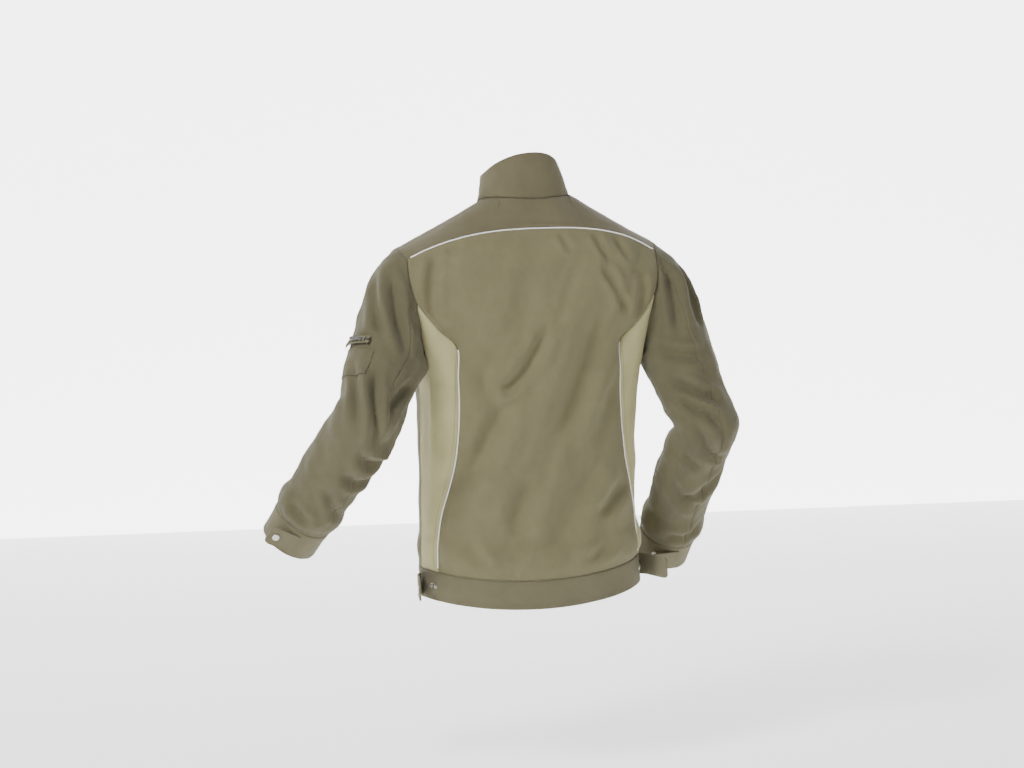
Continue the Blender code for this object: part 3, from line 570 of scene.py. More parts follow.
class Patch:
    """One cut piece of cloth as a fine grid of points, with its borders that are sewn."""

    def __init__(self, grid, inside, sewn="tblr", cyclic=False, left=None, right=None, seam=None):
        grid = np.array(grid, float)
        rows = knots(len(grid) - 1, "b" in sewn, "t" in sewn)
        columns = knots(grid.shape[1] - 1, "l" in sewn, "r" in sewn)
        if seam is not None:
            beside = (seam + k for k in (-0.085, -0.045, -0.02, 0.0, 0.02, 0.045, 0.085))
            columns = np.array(sorted({*columns, *beside}))
        self.seam = seam
        self.rows, self.columns, self.cyclic, self.sewn = rows, columns, cyclic, sewn
        self.points = fine(grid, rows, columns, cyclic, left, right)
        self.inside = inside
        self.refresh()

    def refresh(self):
        p = self.points
        self.normals = normals_of(p, self.inside, self.cyclic)
        wide = np.linalg.norm(np.diff(p, axis=1), axis=2)
        tall = np.linalg.norm(np.diff(p, axis=0), axis=2)
        self.u = np.concatenate([np.zeros((len(p), 1)), np.cumsum(wide, axis=1)], axis=1)
        self.v = np.concatenate([np.zeros((1, p.shape[1])), np.cumsum(tall, axis=0)])

    def from_border(self, side):
        if side == "l":
            return self.u
        if side == "r":
            return self.u[:, -1:] - self.u
        return self.v if side == "b" else self.v[-1:] - self.v

    def cut(self, r0, r1, c0, c1, sewn="tblr"):
        """The part between these fractional rows and columns of the grid."""
        made = Patch.__new__(Patch)
        made.rows = self.rows[(self.rows > r0 + 1e-6) & (self.rows < r1 - 1e-6)]
        made.rows = np.r_[r0, made.rows, r1]
        made.columns = self.columns[(self.columns > c0 + 1e-6) & (self.columns < c1 - 1e-6)]
        made.columns = np.r_[c0, made.columns, c1]
        made.points = self.at(made.rows, made.columns)[0]
        made.inside, made.cyclic, made.sewn, made.seam = self.inside, False, sewn, None
        made.refresh()
        return made

    def at(self, rows, columns):
        """Points and normals at fractional rows and columns, bilinearly."""
        out = []
        for field in (self.points, self.normals):
            i = np.clip(np.searchsorted(self.rows, rows, "right") - 1, 0, len(self.rows) - 2)
            j = np.clip(np.searchsorted(self.columns, columns, "right") - 1, 0, len(self.columns) - 2)
            fi = ((rows - self.rows[i]) / (self.rows[i + 1] - self.rows[i]))[:, None, None]
            fj = ((columns - self.columns[j]) / (self.columns[j + 1] - self.columns[j]))[None, :, None]
            low = field[i][:, j] * (1 - fj) + field[i][:, j + 1] * fj
            high = field[i + 1][:, j] * (1 - fj) + field[i + 1][:, j + 1] * fj
            out.append(low * (1 - fi) + high * fi)
        return out


def mirror_patch(patch):
    made = Patch.__new__(Patch)
    made.__dict__.update(patch.__dict__)
    made.points = patch.points * np.array([-1, 1, 1])
    made.refresh()
    return made


def level_normals(patches, reach=0.0012):
    """Give points that meet along a seam the same way out, so that the cloths stay together."""
    spots, ways = [], []
    for patch in patches:
        for r, c in border_cells(patch):
            spots.append(patch.points[r, c])
            ways.append(patch.normals[r, c])
    tree = kdtree.KDTree(len(spots))
    for k, spot in enumerate(spots):
        tree.insert(spot, k)
    tree.balance()
    ways = np.array(ways)
    for patch in patches:
        for r, c in border_cells(patch):
            near = [k for _, k, _ in tree.find_range(patch.points[r, c], reach)]
            patch.normals[r, c] = unit(ways[near].sum(axis=0))
        soften_from_border(patch)


def border_cells(patch):
    tall, wide = patch.points.shape[:2]
    cells = {(r, c) for r in (0, tall - 1) for c in range(wide)}
    if not patch.cyclic:
        cells |= {(r, c) for r in range(tall) for c in (0, wide - 1)}
    return sorted(cells)


def soften_from_border(patch):
    """Spread the border's way out a little into the cloth."""
    for _ in range(3):
        n = patch.normals
        mean = n.copy()
        mean[1:-1, 1:-1] = (n[:-2, 1:-1] + n[2:, 1:-1] + n[1:-1, :-2] + n[1:-1, 2:] + 2 * n[1:-1, 1:-1]) / 6
        patch.normals = mean / np.linalg.norm(mean, axis=2, keepdims=True)


# folds in the cloth: the line of each valley in metres, its half width and its depth
# across the body and height in cm, half width and depth in mm
BACK_FOLDS = (
    (((-1, -19), (2, -25), (6, -30), (9, -31)), 10, 8.5),
    (((5, -30), (9, -37), (12, -43), (16, -48)), 18, 12),
    (((-11, -15), (-6, -29), (-1, -43)), 24, 11),
    (((1, -14), (4, -22), (5, -27)), 16, 5),
    (((-9, -5.5), (-12, -11)), 6, 4.6),
    (((-13, -6), (-16, -11)), 6, 4.6),
    (((-3, -5.5), (-5, -9)), 6, 3.2),
    (((-10, -11), (-13, -15), (-15, -20)), 7, 5.6),
    (((-15, -47), (-8, -54)), 12, 7),
    (((-10, -42), (-4, -52), (0, -60)), 20, 6),
    (((-13, -57), (-5, -61)), 10, 4),
    (((14, -56), (10, -61)), 10, 4),
    (((17, -8), (18, -11), (18.5, -16), (17.5, -21)), 8, 7),
    (((13, -7), (16, -8.5)), 7, 3.6),
    (((-18.5, -12), (-18, -16), (-17, -21)), 8, 5.6),
    (((3, -45), (7, -55)), 18, 6),
    (((12, -26), (10, -31), (9, -35)), 11, 4),
    (((-14, -28), (-10, -36), (-8, -42)), 14, 6),
)
FRONT_FOLDS = (
    (((17, -20), (12, -27), (7, -33)), 16, 4),
    (((-17, -21), (-11, -29), (-6, -36)), 16, 4),
    (((14, -42), (6, -52)), 18, 4),
    (((-14, -45), (-7, -55)), 18, 4),
    (((16, -12), (10, -10)), 12, 2.4),
    (((-16, -12), (-10, -11)), 12, 2.4),
)
# way down the arm in percent and way round it in degrees, 0 outwards and 90 behind
LEFT_SLEEVE_FOLDS = (
    (((6, 50), (20, 75), (34, 120)), 9, 9),
    (((6, 25), (22, 50), (32, 70)), 8, 6.5),
    (((38, 70), (48, 85), (56, 95)), 8, 8),
    (((36, 20), (46, 45), (54, 60)), 9, 6),
    (((36, 150), (44, 125), (50, 105)), 9, 7.5),
    (((50, 150), (53, 120), (51, 80)), 8, 8),
    (((57, 150), (60, 115), (57, 70)), 8.5, 8),
    (((65, 150), (68, 110), (65, 65)), 9, 7),
    (((72, 60), (78, 95), (83, 130)), 8, 6),
    (((84, 20), (86, 80)), 8, 6),
    (((40, 230), (46, 260), (52, 300)), 11, 6),
)
RIGHT_SLEEVE_FOLDS = (
    (((36, 150), (43, 110), (50, 60)), 9, 9),
    (((41, 150), (48, 115), (55, 70)), 8, 8),
    (((50, 140), (56, 95), (58, 50)), 7, 7),
    (((58, 150), (62, 100)), 7.5, 7),
    (((5, 70), (16, 85), (28, 105)), 9, 9),
    (((5, 35), (18, 50), (28, 60)), 8, 6.5),
    (((26, 160), (32, 110), (35, 60)), 9, 6.5),
    (((62, 30), (69, 80), (76, 130)), 9.5, 7),
    (((68, 150), (73, 115), (77, 70)), 10, 7),
    (((83, 40), (87, 85), (88, 130)), 8, 6),
    (((66, 230), (76, 260)), 12, 6),
)
ARM_R = 0.060
SHOULDER_DROP = 0.150


def smooth_line(points, count=24):
    return catmull(np.array(points, float)[:, None], np.linspace(0, len(points) - 1, count))[:, 0]


def fold_push(places, folds, unit_sizes, turning=False):
    """How far each point moves in for the folds: a valley with softer ridges beside it.

    The places and the folds' lines are flat ones, and unit_sizes turns the lines' units into metres."""
    total = np.zeros(places.shape[:-1])
    for points, half, depth in folds:
        line = smooth_line(points) * np.array(unit_sizes)
        near = places.copy()
        if turning:
            middle, whole = line[:, 1].mean(), 2 * math.pi * ARM_R
            near[..., 1] = middle + (near[..., 1] - middle + whole / 2) % whole - whole / 2
        best, share = np.full(total.shape, 9.0), np.zeros(total.shape)
        for k in range(len(line) - 1):
            a, b = line[k], line[k + 1]
            t = np.clip((near - a) @ (b - a) / ((b - a) @ (b - a)), 0, 1)
            far = np.linalg.norm(near - a - t[..., None] * (b - a), axis=-1)
            share = np.where(far < best, (k + t) / (len(line) - 1), share)
            best = np.minimum(best, far)
        fade = np.clip(np.minimum(share, 1 - share) * 3.4, 0, 1)
        wave = np.exp(-((best / half * 1000) ** 2)) - 0.55 * np.exp(-((best / half * 1000 - 1.9) ** 2))
        total -= depth * 0.001 * wave * fade * fade * (3 - 2 * fade)
    return total


def arm_places(points, way):
    """Each point's distance down the arm and round it, blended from one half to the other at the elbow."""
    top, elbow, wrist = (np.array(p, float) for p in sleeve_path(way))
    found = []
    to_elbow = SHOULDER_DROP + np.linalg.norm(elbow - top)
    for start, end, before in ((top, elbow, SHOULDER_DROP), (elbow, wrist, to_elbow)):
        along = unit(end - start)
        out = unit(np.array([way, 0, 0]) - along * along[0] * way)
        back = np.cross(along, out)
        back = back if back[1] > 0 else -back
        rel = points - start
        found.append((before + rel @ along, rel @ out, rel @ back))
    past = step((points - elbow) @ unit(unit(elbow - top) + unit(wrist - elbow)), -0.05, 0.05)
    down, out, back = (a * (1 - past) + b * past for a, b in zip(*found))
    return np.stack([down, np.arctan2(back, out) * ARM_R], axis=-1)


def soft_noise(points, size, seed=0.0):
    """Smooth noise from -1 to 1, as long as size in each direction."""
    flat = points.reshape(-1, 3) / np.array(size)
    found = np.array([noise.noise(Vector((p[0] + seed, p[1] - seed, p[2] + 2 * seed))) for p in flat])
    return found.reshape(points.shape[:-1])


def step(value, low, high):
    t = np.clip((value - low) / (high - low), 0, 1)
    return t * t * (3 - 2 * t)


def torso_push(p):
    """The drape of the body: slanting waves from the wearer's right shoulder to the left hip, and folds."""
    behind = step(p[..., 1], SIDE_SEAM_Y - 0.02, SIDE_SEAM_Y + 0.02)
    push = behind * fold_push(p[..., (0, 2)], BACK_FOLDS, (0.01, 0.01))
    push += (1 - behind) * fold_push(p[..., (0, 2)], FRONT_FOLDS, (0.01, 0.01))
    calm = step(p[..., 2], -0.04, -0.12)
    slant = p.copy()
    slant[..., 0] += 0.42 * p[..., 2]
    push += calm * 0.0052 * soft_noise(slant, (0.040, 0.090, 0.300), 3.1)
    push += calm * 0.0016 * soft_noise(slant, (0.022, 0.040, 0.080), 7.7)
    push += 0.0006 * soft_noise(p, (0.012, 0.012, 0.018), 1.3)
    above = p[..., 2] - (BAND_Z + SIDE_RISE * np.minimum(np.abs(p[..., 0]) / 0.19, 1) ** 2)
    lift = np.clip(above / 0.060, 0, 1)
    push += 0.0050 * np.sin(np.pi * lift) * (above > 0)
    gather = np.exp(-np.clip(above, 0, 1) / 0.025)
    push += 0.0016 * gather * soft_noise(p, (0.010, 0.010, 0.090), 5.5)
    return push


def band_push(p):
    wave = 0.0008 * soft_noise(p, (0.050, 0.050, 0.050), 3.1)
    return wave + 0.0004 * soft_noise(p, (0.012, 0.012, 0.012), 1.3)


def yoke_push(p):
    wave = 0.0012 * soft_noise(p, (0.050, 0.040, 0.050), 2.2)
    return wave + 0.0005 * soft_noise(p, (0.014, 0.014, 0.014), 4.1)


def quiet_by_zip(p):
    """Nearly nothing moves beside the sleeve pocket's zip, which is stiff."""
    centre, axis, out = sleeve_zip_frame()
    rel = p - (centre + out * ZIP_R)
    level = np.abs(rel @ axis)
    near = (1 - step(level, 0.010, 0.028)) * (1 - step(np.linalg.norm(rel, axis=-1), 0.045, 0.065))
    return 1 - 0.95 * near


def sleeve_push(way):
    folds = LEFT_SLEEVE_FOLDS if way > 0 else RIGHT_SLEEVE_FOLDS
    top, elbow, wrist = sleeve_path(way)
    whole = SHOULDER_DROP + np.linalg.norm(elbow - top) + np.linalg.norm(wrist - elbow)
    sizes = whole / 100, ARM_R * math.pi / 180

    def push(p):
        total = fold_push(arm_places(p, way), folds, sizes, turning=True)
        total += 0.0040 * soft_noise(p, (0.034, 0.034, 0.075), 6.0 + way)
        total += 0.0018 * soft_noise(p, (0.020, 0.020, 0.026), 8.0 + way)
        total += 0.0005 * soft_noise(p, (0.011, 0.011, 0.011), 9.0 + way)
        along = (p - elbow) @ unit(wrist - elbow)
        left = np.linalg.norm(wrist - elbow) - CUFF_LENGTH - along
        ahead = np.clip(left / 0.050, 0, 1)
        total += 0.0052 * np.sin(np.pi * ahead) * (along > 0)
        gather = 0.0019 * np.exp(-np.clip(left, 0, 1) / 0.020)
        total += gather * soft_noise(p, (0.010, 0.010, 0.040), 2.0) * (along > 0)
        crush = 0.0022 * np.exp(-((along - 0.015) / 0.055) ** 2)
        total += crush * soft_noise(p, (0.060, 0.060, 0.022), 4.4 * way)
        if way > 0:
            total *= quiet_by_zip(p)
        return total

    return push


def press_seams(patch, deep=0.0011, pucker=0.0005):
    """Dip the cloth into its seams, raise the doubled cloth beside them and pucker it a little."""
    push = np.zeros(patch.points.shape[:2])
    rough = soft_noise(patch.points, (0.006, 0.006, 0.006), 0.7)
    for side in patch.sewn:
        d = patch.from_border(side)
        push += -deep * np.exp(-((d / 0.0016) ** 2)) + 0.0005 * step(d, 0.0112, 0.0088) * step(d, 0.0, 0.002)
        push += pucker * rough * np.exp(-d / 0.007)
    if patch.seam is not None:
        d = patch.u - patch.u[:, [int(np.argmin(np.abs(patch.columns - patch.seam)))]]
        push += -deep * np.exp(-((d / 0.0016) ** 2)) + 0.0005 * step(d, 0.0, 0.002) * step(d, 0.0112, 0.0088)
        push += pucker * rough * np.exp(-np.abs(d) / 0.007)
    return push


def seam_push(p):
    """What every seam does, whichever cloth it is seen from."""
    return 0.0009 * soft_noise(p, (0.045, 0.045, 0.045), 6.3)


def shape(patches, push_of, deep=0.0011, pucker=0.0005):
    for patch, push in zip(patches, push_of):
        free = np.ones(patch.points.shape[:2])
        for side in patch.sewn:
            free *= step(patch.from_border(side), -0.002, 0.016)
        common = seam_push(patch.points)
        amount = common + (push(patch.points) - common) * free + press_seams(patch, deep, pucker)
        patch.points = patch.points + patch.normals * amount[..., None]
    for patch in patches:
        patch.refresh()


def mesh_from(name, patches):
    """One smooth mesh of the patches' outer faces, joined where they meet, with UVs in metres."""
    work = bmesh.new()
    layer = work.loops.layers.uv.new("cloth")
    for number, patch in enumerate(patches):
        p = patch.points
        verts = [[work.verts.new(tuple(q)) for q in row] for row in p]
        for r in range(len(verts) - 1):
            for c in range(len(verts[r]) - 1):
                cells = (r, c), (r, c + 1), (r + 1, c + 1), (r + 1, c)
                face = work.faces.new([verts[i][j] for i, j in cells])
                face.smooth = True
                for loop, (i, j) in zip(face.loops, cells):
                    loop[layer].uv = (patch.u[i, j] + number * 0.7, patch.v[i, j])
    bmesh.ops.remove_doubles(work, verts=work.verts, dist=6e-5)
    bmesh.ops.recalc_face_normals(work, faces=work.faces)
    total = 0.0
    for face in work.faces:
        spot = np.array(face.calc_center_median())
        away = spot - np.array(patches[0].inside(spot[None, None])[0, 0])
        total += float(np.array(face.normal) @ away) * face.calc_area()
    if total < 0:
        bmesh.ops.reverse_faces(work, faces=work.faces)
    mesh = bpy.data.meshes.new(name)
    work.to_mesh(mesh)
    work.free()
    return mesh


def show(obj):
    bpy.context.scene.collection.objects.link(obj)
    return obj


def attach(obj, body):
    """Ride a body; given two bodies and a bend as (first, second, start, end), only bake the transform in."""
    if isinstance(body, str):
        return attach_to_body(obj, body)
    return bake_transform(obj)


def panel(name, patches, body, look, nodes, thick=CLOTH):
    """A cut piece of cloth with its thickness, standing for its CAD nodes."""
    mesh = mesh_from(name, patches)
    obj = show(bpy.data.objects.new(name, mesh))
    mesh.materials.append(look)
    solid = obj.modifiers.new("thickness", "SOLIDIFY")
    solid.thickness = thick
    solid.offset = -1
    split = obj.modifiers.new("crisp edge", "EDGE_SPLIT")
    split.split_angle = math.radians(48)
    attach(obj, body)
    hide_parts(*nodes)
    PANELS[name] = (obj, body)
    return obj


PANELS = {}


def linear(channel):
    channel /= 255
    return channel / 12.92 if channel <= 0.04045 else ((channel + 0.055) / 1.055) ** 2.4


def colour(r, g, b):
    return (linear(r), linear(g), linear(b), 1.0)


def nodes_for(name):
    made = bpy.data.materials.new(name)
    made.use_nodes = True
    tree = made.node_tree
    shader = tree.nodes["Principled BSDF"]

    def add(kind, **settings):
        node = tree.nodes.new(kind)
        for key, value in settings.items():
            setattr(node, key, value)
        return node

    def link(a, out, b, into):
        tree.links.new(a.outputs[out], b.inputs[into])

    return made, shader, add, link


def cloth_look(name, tone, rough=0.88, vary=0.10, weave=0.9):
    """Twill cotton: fine diagonal ribs along the cut piece, with faint mottling."""
    made, shader, add, link = nodes_for(name)
    uv = add("ShaderNodeUVMap", uv_map="cloth")
    place = add("ShaderNodeTexCoord")
    mottle = add("ShaderNodeTexNoise")
    mottle.inputs["Scale"].default_value = 26
    mottle.inputs["Detail"].default_value = 5
    mottle.inputs["Roughness"].default_value = 0.62
    link(place, "Object", mottle, "Vector")
    patchy = add("ShaderNodeTexNoise")
    patchy.inputs["Scale"].default_value = 5.5
    patchy.inputs["Detail"].default_value = 2
    link(place, "Object", patchy, "Vector")
    grain = add("ShaderNodeTexNoise")
    grain.inputs["Scale"].default_value = 900
    grain.inputs["Detail"].default_value = 2
    link(uv, "UV", grain, "Vector")
    mix = add("ShaderNodeMath", operation="ADD")
    link(mottle, "Fac", mix, 0)
    link(patchy, "Fac", mix, 1)
    more = add("ShaderNodeMath", operation="MULTIPLY_ADD")
    link(grain, "Fac", more, 0)
    more.inputs[1].default_value = 0.9
    link(mix, "Value", more, 2)
    ramp = add("ShaderNodeMapRange")
    ramp.inputs["From Min"].default_value = 1.05
    ramp.inputs["From Max"].default_value = 1.85
    ramp.inputs["To Min"].default_value = 1 - vary
    ramp.inputs["To Max"].default_value = 1 + vary
    link(more, "Value", ramp, "Value")
    shade = add("ShaderNodeVectorMath", operation="SCALE")
    shade.inputs[0].default_value = tone[:3]
    link(ramp, "Result", shade, "Scale")
    link(shade, "Vector", shader, "Base Color")
    turn = add("ShaderNodeMapping")
    turn.inputs["Rotation"].default_value = (0, 0, math.radians(52))
    turn.inputs["Scale"].default_value = (1, 1, 1)
    link(uv, "UV", turn, "Vector")
    rib = add("ShaderNodeTexWave", wave_type="BANDS", bands_direction="X")
    rib.inputs["Scale"].default_value = 300
    rib.inputs["Distortion"].default_value = 1.2
    rib.inputs["Detail"].default_value = 1
    link(turn, "Vector", rib, "Vector")
    height = add("ShaderNodeMath", operation="ADD")
    link(rib, "Fac", height, 0)
    link(grain, "Fac", height, 1)
    bump = add("ShaderNodeBump")
    bump.inputs["Strength"].default_value = weave
    bump.inputs["Distance"].default_value = 0.00016
    link(height, "Value", bump, "Height")
    slub = add("ShaderNodeBump")
    slub.inputs["Strength"].default_value = 0.5
    slub.inputs["Distance"].default_value = 0.0016
    link(mottle, "Fac", slub, "Height")
    link(bump, "Normal", slub, "Normal")
    link(slub, "Normal", shader, "Normal")
    shader.inputs["Roughness"].default_value = rough
    shader.inputs["Specular IOR Level"].default_value = 0.25
    shader.inputs["Sheen Weight"].default_value = 0.10
    shader.inputs["Sheen Roughness"].default_value = 0.5
    return made


def plain_look(name, tone, rough, metal=0.0, wear=0.06):
    made, shader, add, link = nodes_for(name)
    place = add("ShaderNodeTexCoord")
    speck = add("ShaderNodeTexNoise")
    speck.inputs["Scale"].default_value = 420
    speck.inputs["Detail"].default_value = 3
    link(place, "Object", speck, "Vector")
    ramp = add("ShaderNodeMapRange")
    ramp.inputs["To Min"].default_value = 1 - wear
    ramp.inputs["To Max"].default_value = 1 + wear
    link(speck, "Fac", ramp, "Value")
    shade = add("ShaderNodeVectorMath", operation="SCALE")
    shade.inputs[0].default_value = tone[:3]
    link(ramp, "Result", shade, "Scale")
    link(shade, "Vector", shader, "Base Color")
    shader.inputs["Roughness"].default_value = rough
    shader.inputs["Metallic"].default_value = metal
    return made


OLIVE = cloth_look("olive twill", colour(115, 110, 82))
OLIVE_YOKE = cloth_look("olive twill, yoke", colour(103, 97, 74))
# The side panels' paler tone is painted light: the same olive twill, brightened for the light the side panels
# catch where they face up.
OLIVE_SIDE_PAINTED_LIGHT = cloth_look("paler olive twill", colour(176, 170, 126))
# The sleeves' darker tone is painted shade: the same olive twill, darkened for the shade on the sleeves'
# downward-facing cloth.
OLIVE_SLEEVE_PAINTED_SHADE = cloth_look("olive twill, sleeves, painted shade", colour(95, 91, 69))
OLIVE_BAND = cloth_look("olive twill, doubled", colour(107, 102, 79))
THREAD = plain_look("thread", colour(98, 92, 70), 0.7)
# The piping's near-white tone is partly its own pale silver and partly painted reflection, for the glare its
# reflective surface throws back.
PIPING_PAINTED_GLARE = plain_look("silvery piping", colour(250, 249, 244), 0.3)
NICKEL = plain_look("nickel", colour(196, 194, 186), 0.28, 1.0)
TAPE = plain_look("zip tape", colour(64, 61, 50), 0.85)


def wide_grid(half):
    """A whole row of panels from the half grid whose first column is the centre line."""
    return np.concatenate([mirrored(half)[:, :0:-1], half], axis=1)


def follow(patch, side, target, reach=1.5):
    """Move a border onto the target line, and the cloth near it part of the way."""
    if side == "l":
        fade = (1 - step(patch.columns, 0, reach))[None, :, None]
        patch.points = patch.points + (target - patch.points[:, 0])[:, None] * fade
    else:
        far = patch.rows if side == "b" else patch.rows[-1] - patch.rows
        edge = patch.points[0 if side == "b" else -1]
        patch.points = patch.points + (target - edge)[None] * (1 - step(far, 0, reach))[:, None, None]
    patch.refresh()


def along(marks, points, at):
    return np.stack([np.interp(at, marks, points[:, axis]) for axis in range(3)], axis=1)


def join_borders(made):
    """Bring each seam's two sides onto the same line."""
    back, side, shoulder, front = made["back"], made["side_left"], made["shoulder_left"], made["front_left"]
    edge = back.points[:, -1]
    follow(side, "l", along(back.rows, edge, side.rows))
    top = side.points[-1].copy()
    near = side.columns <= 2.0
    top[near] = along(back.rows, edge, 8 + side.columns[near])
    follow(side, "t", top)
    line = front.points[:, 0].copy()
    low = front.rows <= 8.0
    line[low] = along(side.rows, side.points[:, -1], front.rows[low])
    follow(front, "l", line)
    follow(shoulder, "b", along(back.columns, back.points[-1], 8 + shoulder.columns))
    top = front.points[-1].copy()
    near = front.columns <= 4.0
    top[near] = along(shoulder.columns, shoulder.points[-1], 4 - front.columns[near])
    follow(front, "t", top)
    hem = made["band"]
    reach = np.abs(hem.columns - 11)
    half = np.where((reach <= 6)[:, None], along(back.columns, back.points[0], 6 + np.minimum(reach, 6)),
                    along(side.columns, side.points[0], np.maximum(reach - 6, 0)))
    half[:, 0] *= np.sign(hem.columns - 11)
    follow(hem, "t", half)
    band = made["band_front_left"]
    follow(band, "t", along(front.columns, front.points[0], band.columns))


def torso_patches():
    back = rows_of_back()
    side = side_rows()
    middle, shoulder = yoke_grids()
    front = front_rows()
    made = {"back": Patch(wide_grid(back), torso_axis)}
    made["side_left"] = Patch(side, torso_axis)
    made["yoke"] = Patch(wide_grid(middle), torso_axis, "tb", left=mirrored(shoulder[:3, 1:2])[:, 0],
                         right=shoulder[:3, 1])
    lead = np.concatenate([middle[:, 1], shoulder[3:, 0] * 2 - shoulder[3:, 1]])
    made["shoulder_left"] = Patch(shoulder, torso_axis, "tbr", left=lead)
    made["front_left"] = Patch(front, torso_axis)
    around = np.vstack([back[0], side[0][1:]])
    made["band"] = Patch(wide_grid(band_rows(around)), torso_axis, "tlr")
    made["band_front_left"] = Patch(band_rows(front[0]), torso_axis, "tlr")
    join_borders(made)
    for name in ("side", "shoulder", "front", "band_front"):
        made[name + "_right"] = mirror_patch(made[name + "_left"])
    return made


def collar_patch():
    seam = np.array([*NECK_SEAM, (FRONT_EDGE_X, front_y(FRONT_NECK_Z), FRONT_NECK_Z)])
    top = np.array([*COLLAR_TOP, (FRONT_EDGE_X, front_y(ZIP_TOP_Z), ZIP_TOP_Z)])
    rows = []
    for share in (0, 0.35, 0.7, 1):
        row = seam + (top - seam) * share
        row[:-1, 1] += 0.004 * math.sin(math.pi * share)
        row[-1] = (FRONT_EDGE_X, front_y(row[-1, 2]), row[-1, 2])
        rows.append(row)
    made = Patch(wide_grid(np.array(rows)), collar_axis, "b")
    share = (made.rows / 3)[:, None]
    p = made.points
    x = p[..., 0]
    back = step(p[..., 1], -0.120, -0.060)
    p[..., 2] -= share * 0.008 * (np.abs(x) / 0.06) ** 2 * back
    pulled = np.where(x < 0, x * (1 - 0.10 * share), x * (1 + 0.16 * share))
    p[..., 0] = x + (pulled + 0.0035 - x) * back
    made.refresh()
    return made


def body_edge(made, way):
    """The armhole as a line of points in step with the sleeve's own columns."""
    side = "left" if way > 0 else "right"
    column = -1 if way > 0 else 0
    back, front = made["back"], made["front_" + side]
    shoulder, under = made["shoulder_" + side], made["side_" + side]
    runs = []
    runs.append((back.rows, back.points[:, column], 10, 12, 1))
    runs.append((shoulder.rows, shoulder.points[:, -1], 0, 5, 1))
    runs.append((front.rows, front.points[:, 0], 8, 12, -1))
    runs.append((under.columns, under.points[-1], 2, 5, -1))
    line, at, start = [], [], 0
    for marks, points, low, high, turn in runs:
        for k in np.arange(0, high - low, 1 / SUB):
            spot = low + k if turn > 0 else high - k
            line.append([np.interp(spot, marks, points[:, axis]) for axis in range(3)])
            at.append(start + k)
        start += high - low
    return np.array(at + [14.0]), np.array(line + [line[0]])


SLEEVE_SEAM = {1: 0.3, -1: 1.3}


def sleeve_patch(made, way):
    rows = list(head_rows(way)) + list(upper_rows(way))[1:]
    rows += list(elbow_rows(way))[1:] + list(forearm_rows(way))[1:]
    patch = Patch(closed(rows), sleeve_axis(way), "bt", cyclic=True, seam=SLEEVE_SEAM[way])
    at, edge = body_edge(made, way)
    hole = np.stack([np.interp(patch.columns, at, edge[:, axis]) for axis in range(3)], axis=1)
    gap = hole - patch.points[0]
    fade = (1 - step(patch.rows, 0, 2.0))[:, None, None]
    patch.points = patch.points + gap[None] * fade
    patch.refresh()
    return patch


MADE = torso_patches()
COLLAR = collar_patch()
SLEEVES = {1: sleeve_patch(MADE, 1), -1: sleeve_patch(MADE, -1)}
CUFFS = {way: Patch(closed(cuff_rows(way)), sleeve_axis(way), "b", cyclic=True) for way in (1, -1)}
TORSO = list(MADE.values())
level_normals([*TORSO, COLLAR, *SLEEVES.values(), *CUFFS.values()], 0.0022)
PUSH = {name: yoke_push for name in ("yoke", "shoulder_left", "shoulder_right")}
PUSH |= {name: band_push for name in ("band", "band_front_left", "band_front_right")}
shape(TORSO, [PUSH.get(name, torso_push) for name in MADE])
shape([COLLAR], [yoke_push])
for way in (1, -1):
    shape([SLEEVES[way]], [sleeve_push(way)])
    shape([CUFFS[way]], [yoke_push])

# where the cloth gives at each joint
SPLIT_ROW = 5.3
NECK_SIDE, FRONT_FREE = (0.069, -0.108, -0.026), (0.0455, -0.150, -0.029)


def front_bend(way):
    side = "left" if way > 0 else "right"
    ends = [(x * way, y, z) for x, y, z in (NECK_SIDE, FRONT_FREE)]
    return ("torso", "front_" + side, *ends)


def sleeve_bend(way):
    side = "left" if way > 0 else "right"
    return ("torso", "sleeve_" + side, (0.212 * way, -0.07, -0.140), (0.250 * way, -0.07, -0.148))


def elbow_bend(way):
    side = "left" if way > 0 else "right"
    top, elbow, wrist = sleeve_path(way)
    start, end = elbow - unit(elbow - top) * 0.05, elbow + unit(wrist - elbow) * 0.05
    return ("sleeve_" + side, "forearm_" + side, tuple(start), tuple(end))


def split_rows(patch, at):
    low, high = Patch.__new__(Patch), Patch.__new__(Patch)
    cut = int(np.searchsorted(patch.rows, at))
    for part, rows in ((low, slice(0, cut + 1)), (high, slice(cut, None))):
        part.rows, part.columns = patch.rows[rows], patch.columns
        part.points, part.normals = patch.points[rows], patch.normals[rows]
        part.u, part.v = patch.u[rows], patch.v[rows]
        part.inside, part.cyclic, part.sewn, part.seam = patch.inside, True, "", None
    return low, high


